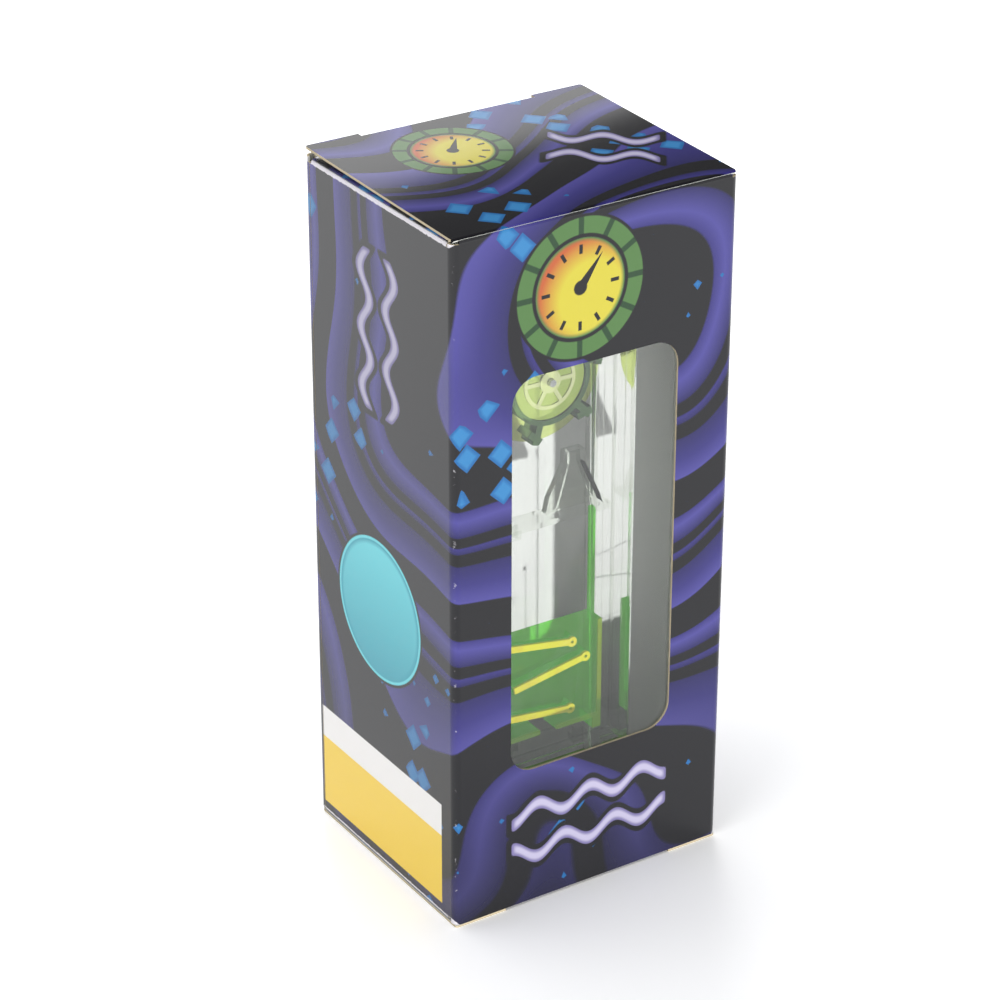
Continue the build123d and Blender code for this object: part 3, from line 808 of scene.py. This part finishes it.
@dataclass(frozen=True)
class OiledClearFinish:
    """Clear moulded styrene in clear oil: nearly unseen face on, with a painted grey shade where it turns
    away.
    """

    name: str = "clear_styrene_in_oil"
    outline: str = "5E625C"
    strength: float = 0.38
    relative_index: float = 1.05
    flow_size: float = 3.5
    plate_top: float = 0.0
    plate_share: float = 0.25

    def material(self) -> bpy.types.Material:
        """Makes the finish.

        Returns:
            The material.
        """
        material, tree = new_material(self.name)
        spot = millimetres(tree)
        flow = add(tree, "TexNoise", {"Vector": spot, "Scale": 1 / self.flow_size, "Detail": 2.0})
        # A grey shade is painted where the faces turn away from view; soft noise makes it come and go along
        # an edge.
        marks = add(tree, "MapRange", flow, 0.3, 0.7, 0.6, 1.25)
        turn = add(tree, "LayerWeight", {"Blend": 0.35})
        rim = add(tree, "MapRange", turn.outputs["Facing"], 0.45, 0.95, 0.03, self.strength)
        rim = add(tree, "Math", rim, marks, operation="MULTIPLY")
        if self.plate_top:
            height = add(tree, "SeparateXYZ", spot).outputs[2]
            top = self.plate_top / MM
            rise = add(tree, "MapRange", height, top, top + 0.4, self.plate_share, 1.0)
            rim = add(tree, "Math", rim, rise, operation="MULTIPLY")
        clear = add(tree, "BsdfRefraction", {
            "Color": colour("FAFBF9"), "Roughness": 0.0, "IOR": self.relative_index,
        })
        # This grey is painted shade, not a colour of the styrene.
        grey = add(tree, "BsdfTransparent", {"Color": colour(self.outline)})
        body = add(tree, "MixShader", rim, clear, grey)
        add(tree, "OutputMaterial", lets_light_by(tree, body))
        return material


@dataclass(frozen=True)
class NeonFinish:
    """Fluorescent cast acrylic: clear green through its faces, with a painted yellow glow at its edges."""

    name: str
    face: str = "9CF05A"
    edge: str = "D8FF1E"
    edge_shade: str = "D9C43A"
    # The strength of the edges' painted glow.
    glow: float = 0.9
    # A faint painted green glow on the faces, and its colour; off by default.
    painted_face_glow: float = 0.0
    painted_face_light: str = "96FF62"
    haze: float = 0.15
    cloud_size: float = 4.0

    def shaders(self, tree: bpy.types.NodeTree) -> tuple[bpy.types.Node, bpy.types.Node]:
        """Makes the see-through face and the edge with its painted glow.

        Args:
            tree: The node tree.

        Returns:
            The face's shader and the edge's shader.
        """
        cloud = add(tree, "TexNoise", {
            "Vector": millimetres(tree), "Scale": 1 / self.cloud_size, "Detail": 2.0,
        })
        # Fluorescent acrylic looks clear green face on, with faint clouds of scattered light in it.
        haze = add(tree, "MapRange", cloud, 0.3, 0.7, self.haze * 0.7, self.haze * 1.3)
        clear = add(tree, "BsdfTransparent", {"Color": colour(self.face)})
        body = add(tree, "BsdfTranslucent", {"Color": colour(self.face)})
        face = add(tree, "MixShader", haze, clear, body)
        # A painted glow: a fixed green emission lifts the faces whatever light falls on them.
        if self.painted_face_glow:
            dye = add(tree, "Emission", {"Color": colour(self.painted_face_light), "Strength": self.painted_face_glow})
            face = add(tree, "AddShader", face, dye)
        # Its edges get a painted glow, a fixed emission standing for the light they pipe out, in bright
        # yellow with golden patches.
        patch = add(tree, "MapRange", cloud, 0.42, 0.66, 0.0, 0.8)
        tone = add(tree, "Mix", {
            0: patch, 6: colour(self.edge), 7: colour(self.edge_shade),
        }, data_type="RGBA")
        lit = add(tree, "Emission", {"Color": tone.outputs[2], "Strength": self.glow})
        solid = add(tree, "BsdfDiffuse", {"Color": tone.outputs[2]})
        edge = add(tree, "AddShader", solid, lit)
        edge = add(tree, "MixShader", 0.72, clear, edge)
        return face, edge


@dataclass(frozen=True)
class StepBlockFinish:
    """The step block's acrylic: a painted yellow glow on its ramps' front edges and, fainter, on its walls'
    front edges, over clear green walls with a faint painted green glow.

    The solid's two corners and its walls' sizes say where the ramps end.
    """

    low: Vector
    high: Vector
    wall: float
    foot: float
    edge_depth: float = 1.6
    rail_share: float = 0.22
    neon: NeonFinish = NeonFinish(
        name="fluorescent_acrylic_steps", face="A6EC84", edge="E0D82E", glow=0.32, painted_face_glow=0.085,
    )

    def material(self) -> bpy.types.Material:
        """Makes the finish.

        Returns:
            The material.
        """
        material, tree = new_material(self.neon.name)
        face, edge = self.neon.shaders(tree)
        at = add(tree, "SeparateXYZ", add(tree, "TexCoord").outputs["Object"])
        near, deep = self.low.y + 0.05 * MM, self.low.y + self.edge_depth * MM
        front = add(tree, "MapRange", at.outputs[1], near, deep, 1.0, 0.0)
        side = add(tree, "Math", at.outputs[0], operation="ABSOLUTE")
        within = add(tree, "Math", side, self.high.x - self.wall * MM, operation="LESS_THAN")
        floor_top = self.low.z + (self.foot + self.wall) * MM
        above = add(tree, "Math", at.outputs[2], floor_top + 0.1 * MM, operation="GREATER_THAN")
        ramps = add(tree, "Math", within, above, operation="MULTIPLY")
        ramps = add(tree, "Math", ramps, front, operation="MULTIPLY")
        # The walls' front edges get a share of the same painted glow.
        rim = add(tree, "Math", front, self.rail_share, operation="MULTIPLY")
        shown = add(tree, "Math", ramps, rim, operation="MAXIMUM")
        # A painted glow on the ramps' cut front edges, standing for the light that gathers there, draws a
        # yellow line across the green for each ramp.
        block = add(tree, "MixShader", shown, face, edge)
        add(tree, "OutputMaterial", lets_light_by(tree, block))
        return material


@dataclass(frozen=True)
class WheelFinish:
    """The drip wheel's acrylic: a clear yellow-green disc, a hub with painted highlight and shade, and a
    smoky rim and paddles darkened by painted shade.

    The solid's two corners and the wheel's sizes say where its parts end.
    """

    low: Vector
    high: Vector
    disc: float
    rim: float
    rim_wall: float
    dish: float
    # The hub's tones: its dish floor darker, a painted shade, and its raised ring paler, a painted highlight.
    dish_floor_shade: str = "A6BC5C"
    raised_ring_highlight: str = "DCE2AA"
    # The rim's and paddles' colours: smoky dyed acrylic, darkened further by painted shade.
    smoke_and_shade: str = "86A878"
    smoke_and_shade_body: str = "5E7F55"
    neon: NeonFinish = NeonFinish(
        name="fluorescent_acrylic_wheel", face="F3FBC6", edge="CEDA62", edge_shade="B4C054", glow=0.02,
        haze=0.05,
    )

    def material(self) -> bpy.types.Material:
        """Makes the finish.

        Returns:
            The material.
        """
        centre = (self.low + self.high) / 2
        material, tree = new_material(self.neon.name)
        face, edge = self.neon.shaders(tree)
        spot = millimetres(tree)
        flat = add(tree, "VectorMath", spot, (1, 0, 1), operation="MULTIPLY")
        radius = add(
            tree, "VectorMath", flat, (centre.x / MM, 0, centre.z / MM), operation="DISTANCE"
        ).outputs["Value"]
        depth = add(tree, "SeparateXYZ", spot).outputs[1]
        ahead = add(tree, "Math", depth, self.high.y / MM - self.disc - 0.05, operation="LESS_THAN")
        outer = add(tree, "Math", radius, self.rim - self.rim_wall - 0.02, operation="GREATER_THAN")
        dark = add(tree, "Math", ahead, outer, operation="MULTIPLY")
        inner = add(tree, "Math", radius, self.rim - self.rim_wall, operation="LESS_THAN")
        floor = self.low.y / MM + self.dish
        front = add(tree, "Math", depth, floor + 0.05, operation="LESS_THAN")
        # The hub carries painted light: the raised ring is paler, a painted highlight, and the dish floor
        # darker, a painted shade.
        raised = add(tree, "MapRange", depth, floor - 0.42, floor - 0.02, 1.0, 0.0)
        hub = add(tree, "Math", inner, front, operation="MULTIPLY")
        hub = add(tree, "Math", hub, 0.62, operation="MULTIPLY")
        tone = add(tree, "Mix", {
            0: raised, 6: colour(self.dish_floor_shade), 7: colour(self.raised_ring_highlight),
        }, data_type="RGBA")
        skin = add(tree, "BsdfDiffuse", tone.outputs[2])
        # Thick dyed acrylic seen along its length turns smoky, and a painted shade darkens it further, so the
        # rim and the paddles read dark.
        smoke_and_shade = add(tree, "BsdfTransparent", {"Color": colour(self.smoke_and_shade)})
        body = add(tree, "BsdfDiffuse", {"Color": colour(self.smoke_and_shade_body)})
        smoke_and_shade = add(tree, "MixShader", 0.4, smoke_and_shade, body)
        lit = add(tree, "MixShader", 0.06, face, edge)
        lit = add(tree, "MixShader", hub, lit, skin)
        wheel = add(tree, "MixShader", dark, lit, smoke_and_shade)
        add(tree, "OutputMaterial", lets_light_by(tree, wheel))
        return material


@dataclass(frozen=True)
class StainlessPinFinish:
    """Drawn stainless steel, with its drawing lines counted per millimetre."""

    steel: str = "B9BBBC"
    lines_across: float = 9.0
    lines_along: float = 0.3

    def material(self) -> bpy.types.Material:
        """Makes the finish.

        Returns:
            The material.
        """
        material, tree = new_material("drawn_stainless_steel")
        # Drawing leaves fine lines along the pin, so its highlight breaks into streaks.
        stretch = (self.lines_across, self.lines_along, self.lines_across)
        streaks = add(tree, "Mapping", {"Vector": millimetres(tree), "Scale": stretch})
        lines = add(tree, "TexNoise", {"Vector": streaks, "Scale": 1.0, "Detail": 2.0})
        rough = add(tree, "MapRange", lines, 0.3, 0.7, 0.22, 0.38)
        steel = add(tree, "BsdfPrincipled", {
            "Base Color": colour(self.steel), "Metallic": 1.0, "Roughness": rough,
        })
        add(tree, "OutputMaterial", steel)
        return material


@dataclass(frozen=True)
class PolythenePlugFinish:
    """Moulded natural polythene."""

    milky: str = "E3E6E2"
    grains_per_mm: float = 0.9

    def material(self) -> bpy.types.Material:
        """Makes the finish.

        Returns:
            The material.
        """
        material, tree = new_material("moulded_polythene")
        # Polythene is waxy: milky, softly lit from within, with a faint orange-peel skin.
        grain = add(tree, "TexNoise", {
            "Vector": millimetres(tree), "Scale": self.grains_per_mm, "Detail": 3.0,
        })
        bump = add(tree, "Bump", {"Height": grain.outputs[0], "Distance": 0.02 * MM})
        polythene = add(tree, "BsdfPrincipled", {
            "Base Color": colour(self.milky), "Roughness": 0.42, "Subsurface Weight": 0.2,
            "Subsurface Scale": 1.0 * MM, "Normal": bump,
        })
        add(tree, "OutputMaterial", polythene)
        return material


@dataclass(frozen=True)
class NitrileSealFinish:
    """Moulded nitrile rubber."""

    black: str = "17181A"
    dusty: str = "232426"
    grains_per_mm: float = 1.5

    def material(self) -> bpy.types.Material:
        """Makes the finish.

        Returns:
            The material.
        """
        material, tree = new_material("moulded_nitrile_rubber")
        # Nitrile is matt black with a grey bloom that dulls it in patches.
        grain = add(tree, "TexNoise", {
            "Vector": millimetres(tree), "Scale": self.grains_per_mm, "Detail": 2.0,
        })
        tone = add(tree, "MapRange", grain, 0.3, 0.7, 0.0, 1.0)
        base = add(tree, "Mix", {0: tone, 6: colour(self.black), 7: colour(self.dusty)}, data_type="RGBA")
        rubber = add(tree, "BsdfPrincipled", {"Base Color": base.outputs[2], "Roughness": 0.68})
        add(tree, "OutputMaterial", rubber)
        return material


@dataclass(frozen=True)
class FluorescentWaterFinish:
    """Dyed water that has settled under the oil."""

    clear_tint: str = "8DF04A"
    dye: str = "8BE83A"
    cloud_size: float = 6.25

    def material(self) -> bpy.types.Material:
        """Makes the finish.

        Returns:
            The material.
        """
        material, tree = new_material("fluorescent_dyed_water")
        # The dye scatters light, so the pool looks lit from inside and a little cloudy.
        mist = add(tree, "TexNoise", {
            "Vector": millimetres(tree), "Scale": 1 / self.cloud_size, "Detail": 2.0,
        })
        tone = add(tree, "MapRange", mist, 0.3, 0.7, 0.35, 0.55)
        clear = add(tree, "BsdfTransparent", {"Color": colour(self.clear_tint)})
        body = add(tree, "BsdfDiffuse", {"Color": colour(self.dye)})
        add(tree, "OutputMaterial", add(tree, "MixShader", tone, clear, body))
        return material


@dataclass
class Carton:
    """The folded carton with its window film."""

    width: float = 65.0
    depth: float = 54.0
    height: float = 150.0
    film_cuts: int = 24

    def dress(self) -> None:
        """Gives every board its finish."""
        artwork = CartonPrint().group()
        board = BoardFinish()
        dress("carton_sleeve", board.material(Panel.SLEEVE, End.TOP, artwork, self))
        for end in End:
            name = end.name.lower()
            dress(f"{name}_lid", board.material(Panel.LID, end, artwork, self))
            dress(f"{name}_tuck_flap", board.material(Panel.TUCK_FLAP, end, artwork, self))
            dust = board.material(Panel.DUST_FLAP, end, artwork, self)
            dress(f"{name}_dust_flap_left", dust)
            dress(f"{name}_dust_flap_right", dust)

    def window_sheet(self) -> bpy.types.Object:
        """Makes the window film as one thin flat sheet.

        Returns:
            The sheet.
        """
        low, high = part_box("window_film")
        shape = bmesh.new()
        bmesh.ops.create_grid(shape, x_segments=self.film_cuts, y_segments=self.film_cuts * 2, size=0.5)
        size = Matrix.Diagonal((high.x - low.x, high.z - low.z, 1, 1))
        bmesh.ops.transform(shape, matrix=Matrix.Rotation(math.radians(90), 4, "X") @ size, verts=shape.verts)
        centre = (low + high) / 2
        bmesh.ops.translate(shape, vec=centre, verts=shape.verts)
        sheet = new_piece("window_film_sheet", shape, FilmFinish().material(), "carton")
        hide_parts("window_film")
        return sheet


@dataclass
class Timer:
    """The liquid timer's column, bases and drip chamber."""

    corner: float = 1.0
    corner_line_inset: float = 0.18
    strip_width: float = 0.2
    strip_round: float = 0.04
    funnel_height: float = 10.0
    step_wall: float = 1.0
    step_foot: float = 2.5
    wheel_disc: float = 1.0
    wheel_rim: float = 9.3
    wheel_rim_wall: float = 1.1
    wheel_dish: float = 0.9

    def build(self) -> None:
        """Builds the clear body and dresses every piece of the timer."""
        self.column_body()
        self.inner_corner_lines()
        base = ClearFinish(name="polished_acrylic_base", index=1.49, veil=0.08, scuffs=0.05).material()
        faint = OiledClearFinish(
            name="clear_styrene_plate_in_oil", strength=0.14, relative_index=1.015,
        ).material()
        for end in ("upper", "lower"):
            dress(f"{end}_base", base)
            dress(f"{end}_nozzle_plate", faint)
        self.plate_edges(faint)
        dress("drip_funnel", self.funnel_finish().material())
        dress("step_block", self.step_finish().material())
        dress("wheel_rotor", self.wheel_finish().material())
        dress("wheel_axle", StainlessPinFinish().material())
        dress("filler_plug", PolythenePlugFinish().material())
        dress("plug_seal", NitrileSealFinish().material())
        dress("dense_liquid", FluorescentWaterFinish().material())

    def funnel_finish(self) -> OiledClearFinish:
        """Gives the funnel its painted grey edge shade, which fades on the cross plate at its foot.

        Returns:
            The funnel's finish.
        """
        low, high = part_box("drip_funnel")
        plate_top = high.z - self.funnel_height * MM
        return OiledClearFinish(strength=0.46, relative_index=1.022, plate_top=plate_top)

    def step_finish(self) -> StepBlockFinish:
        """Fits the step block's finish to its solid.

        Returns:
            The step block's finish.
        """
        low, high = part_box("step_block")
        return StepBlockFinish(low, high, self.step_wall, self.step_foot)

    def wheel_finish(self) -> WheelFinish:
        """Fits the wheel's finish to its solid.

        Returns:
            The wheel's finish.
        """
        low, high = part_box("wheel_rotor")
        return WheelFinish(low, high, self.wheel_disc, self.wheel_rim, self.wheel_rim_wall, self.wheel_dish)

    def column_body(self) -> bpy.types.Object:
        """Makes the clear column and its oil as one block that bends the light once on each face.

        Returns:
            The block.
        """
        low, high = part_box("outer_case")
        shape = bmesh.new()
        bmesh.ops.create_cube(shape, size=1.0)
        bmesh.ops.transform(shape, matrix=Matrix.Diagonal((*(high - low), 1)), verts=shape.verts)
        bmesh.ops.translate(shape, vec=(low + high) / 2, verts=shape.verts)
        uprights = [e for e in shape.edges if abs(e.verts[0].co.z - e.verts[1].co.z) > MM]
        bmesh.ops.bevel(
            shape, geom=uprights, offset=self.corner * MM, offset_type="OFFSET", segments=5, profile=0.5,
            affect="EDGES", material=-1,
        )
        finish = ClearFinish(name="acrylic_column_with_oil")
        block = new_piece("clear_column", shape, finish.material(), "timer")
        for face in block.data.polygons:
            face.use_smooth = max(abs(c) for c in face.normal) < 0.999
        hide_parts("outer_case", "clear_liquid")
        return block

    def inner_corner_lines(self) -> bpy.types.Object:
        """Makes the fine upright lines where the column's walls meet inside.

        Returns:
            The four lines as one piece.
        """
        low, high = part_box("clear_liquid")
        shape = bmesh.new()
        inset = self.corner_line_inset * MM
        for x in (low.x + inset, high.x - inset):
            for y in (low.y + inset, high.y - inset):
                made = bmesh.ops.create_cone(
                    shape, cap_ends=True, segments=8, radius1=inset * 0.8, radius2=inset * 0.8,
                    depth=high.z - low.z - 2 * inset,
                )
                bmesh.ops.translate(shape, vec=(x, y, (low.z + high.z) / 2), verts=made["verts"])
        # These lines are painted grey shade, standing for the edges that the column's inner corners show.
        finish = OiledClearFinish(name="solvent_glued_acrylic_seam", strength=0.35)
        lines = new_piece("column_wall_seams", shape, finish.material(), "timer")
        return lines

    def plate_edges(self, finish: bpy.types.Material) -> None:
        """Makes the chamber plates' side edges, which is all that shows of them in oil.

        Args:
            finish: The clear finish.
        """
        for node in ("chamber_front_plate", "chamber_back_plate"):
            low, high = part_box(node)
            half = self.strip_width / 2 * MM
            size = Matrix.Diagonal((2 * half, high.y - low.y, high.z - low.z, 1))
            shape = bmesh.new()
            for x in (low.x + half, high.x - half):
                made = bmesh.ops.create_cube(shape, size=1.0)["verts"]
                bmesh.ops.transform(shape, matrix=size, verts=made)
                bmesh.ops.translate(shape, vec=(x, (low.y + high.y) / 2, (low.z + high.z) / 2), verts=made)
            bmesh.ops.bevel(
                shape, geom=shape.edges[:], offset=self.strip_round * MM, offset_type="OFFSET", segments=2,
                profile=0.5, affect="EDGES", material=-1,
            )
            edges = new_piece(f"{node}_edges", shape, finish, "timer")
            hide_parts(node)


@dataclass(frozen=True)
class Lamp:
    """A square area light aimed at the carton's middle, and turned about its own axis by its lean."""

    name: str
    place: tuple[float, float, float]
    size: float
    watts: float
    mirrored: bool = False
    lean: float = 0.0

    def build(self) -> None:
        """Makes the light. Glossy surfaces show it only where it is mirrored."""
        light = bpy.data.lights.new(self.name, "AREA")
        light.shape = "SQUARE"
        light.size = self.size
        light.energy = self.watts
        lamp = bpy.data.objects.new(self.name, light)
        lamp.visible_glossy = self.mirrored
        place = Vector(self.place)
        aim = Vector((0, 0, Carton.height / 2 * MM)) - place
        turn = aim.to_track_quat("-Z", "Y").to_matrix().to_4x4()
        turn @= Matrix.Rotation(math.radians(self.lean), 4, "Z")
        lamp.matrix_world = Matrix.Translation(place) @ turn
        bpy.context.scene.collection.objects.link(lamp)
        log.info("placed %s", self.name)


@dataclass(frozen=True)
class PaperSweepFinish:
    """Matt white background paper. Its white lift grows between two distances in metres."""

    white: str = "FFFFFF"
    teeth_per_mm: float = 0.9
    near_lift: float = 0.18
    lift_start: float = 0.15
    lift_end: float = 0.9

    def material(self) -> bpy.types.Material:
        """Makes the paper, which whitens away from the carton and lets shadow rays and its underside by.

        Returns:
            The material.
        """
        material, tree = new_material("matt_background_paper")
        # Matt paper keeps a soft shadow, and further out it runs into the white surround.
        tooth = add(tree, "TexNoise", {
            "Vector": millimetres(tree), "Scale": self.teeth_per_mm, "Detail": 2.0,
        })
        bump = add(tree, "Bump", {"Height": tooth.outputs[0], "Distance": 0.05 * MM, "Strength": 0.2})
        paper = add(tree, "BsdfPrincipled", {
            "Base Color": colour(self.white), "Roughness": 0.7, "Normal": bump,
        })
        where = add(tree, "TexCoord").outputs["Object"]
        away = add(tree, "VectorMath", where, operation="LENGTH").outputs["Value"]
        glow = add(tree, "MapRange", away, self.lift_start, self.lift_end, self.near_lift, 1.0)
        lift = add(tree, "Emission", {"Color": colour(self.white), "Strength": glow})
        lifted = add(tree, "AddShader", paper, lift)
        seen = add(tree, "MixShader", seen_directly(tree), paper, lifted)
        under = add(tree, "BsdfTransparent", {"Color": colour(self.white)})
        back = add(tree, "NewGeometry").outputs["Backfacing"]
        shadow = add(tree, "LightPath").outputs["Is Shadow Ray"]
        passed = add(tree, "Math", back, shadow, operation="MAXIMUM")
        add(tree, "OutputMaterial", add(tree, "MixShader", passed, seen, under))
        return material


@dataclass
class Studio:
    """The pale floor, the soft lights and the camera at the photograph's angle.

    The camera's distance and shifts are shares of the carton's height, its angles are in degrees, and
    the floor and the lamps are in metres.
    """

    azimuth: float = -32.956
    elevation: float = 27.002
    roll: float = 0.113
    distance: float = 4.5523
    right_shift: float = -0.02493
    up_shift: float = 0.010312
    focal_pixels: float = 3370.9
    frame_pixels: float = 1000.0
    sensor: float = 36.0
    floor_size: float = 8.0
    lamps: tuple[Lamp, ...] = (
        Lamp("overhead_softbox", (-0.1, 0.25, 1.2), 1.1, 10.8),
        Lamp("left_fill", (-1.3, -0.4, 0.5), 0.8, 8.0),
        Lamp("lid_sheen", (0.723, 1.252, 0.551), 0.43, 6.2, mirrored=True, lean=19.3),
        Lamp("frontal_lamp", (0.06, -2.5, -0.02), 0.05, 62.0),
    )

    def build(self) -> None:
        """Sets the view, the world, the floor, the lights and the camera."""
        scene = bpy.context.scene
        scene.view_settings.view_transform = "Standard"
        self.world(scene)
        self.floor()
        for lamp in self.lamps:
            lamp.build()
        self.camera(scene)

    def world(self, scene: bpy.types.Scene) -> None:
        """Makes an even pale surround that is plain white to the camera.

        Args:
            scene: The scene.
        """
        world = bpy.data.worlds.new("studio_surround")
        scene.world = world
        world.use_nodes = True
        tree = world.node_tree
        tree.nodes.clear()
        lit = add(tree, "Background", {"Color": colour("F4F6FA"), "Strength": 0.32})
        white = add(tree, "Background", {"Color": colour("FFFFFF"), "Strength": 1.0})
        mix = add(tree, "MixShader", seen_directly(tree), lit, white)
        add(tree, "OutputWorld", mix)

    def floor(self) -> None:
        """Makes the floor under the lowest point, white to the camera but for the object's shadow."""
        low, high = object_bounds()
        shape = bmesh.new()
        bmesh.ops.create_grid(shape, x_segments=1, y_segments=1, size=self.floor_size / 2)
        bmesh.ops.translate(shape, vec=(0, 0, min(low.z, 0.0)), verts=shape.verts)
        mesh = bpy.data.meshes.new("floor")
        shape.to_mesh(mesh)
        shape.free()
        floor = bpy.data.objects.new("floor", mesh)
        bpy.context.scene.collection.objects.link(floor)
        mesh.materials.append(PaperSweepFinish().material())
        floor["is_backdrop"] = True

    def camera(self, scene: bpy.types.Scene) -> None:
        """Sets the camera where the photograph was taken from.

        Args:
            scene: The scene.
        """
        azimuth, elevation = math.radians(self.azimuth), math.radians(self.elevation)
        level = math.cos(elevation)
        back = Vector((math.sin(azimuth) * level, -math.cos(azimuth) * level, math.sin(elevation)))
        right = Vector((math.cos(azimuth), math.sin(azimuth), 0))
        up = back.cross(right)
        height = Carton.height * MM
        place = Vector((0, 0, height / 2)) + back * (self.distance * height)
        place += right * (self.right_shift * height) + up * (self.up_shift * height)
        turn = Matrix((right, up, back)).transposed() @ Matrix.Rotation(math.radians(self.roll), 3, "Z")
        data = bpy.data.cameras.new("photo_camera")
        data.sensor_width = self.sensor
        data.lens = self.focal_pixels / self.frame_pixels * self.sensor
        data.clip_start = 0.01
        camera = bpy.data.objects.new("photo_camera", data)
        camera.matrix_world = Matrix.Translation(place) @ turn.to_4x4()
        scene.collection.objects.link(camera)
        scene.camera = camera


def main() -> None:
    """Builds the object's looks and the studio."""
    logging.basicConfig(level=logging.INFO, format="%(message)s")
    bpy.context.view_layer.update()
    carton = Carton()
    carton.dress()
    carton.window_sheet()
    Timer().build()
    Studio().build()


if __name__ == "__main__":
    main()
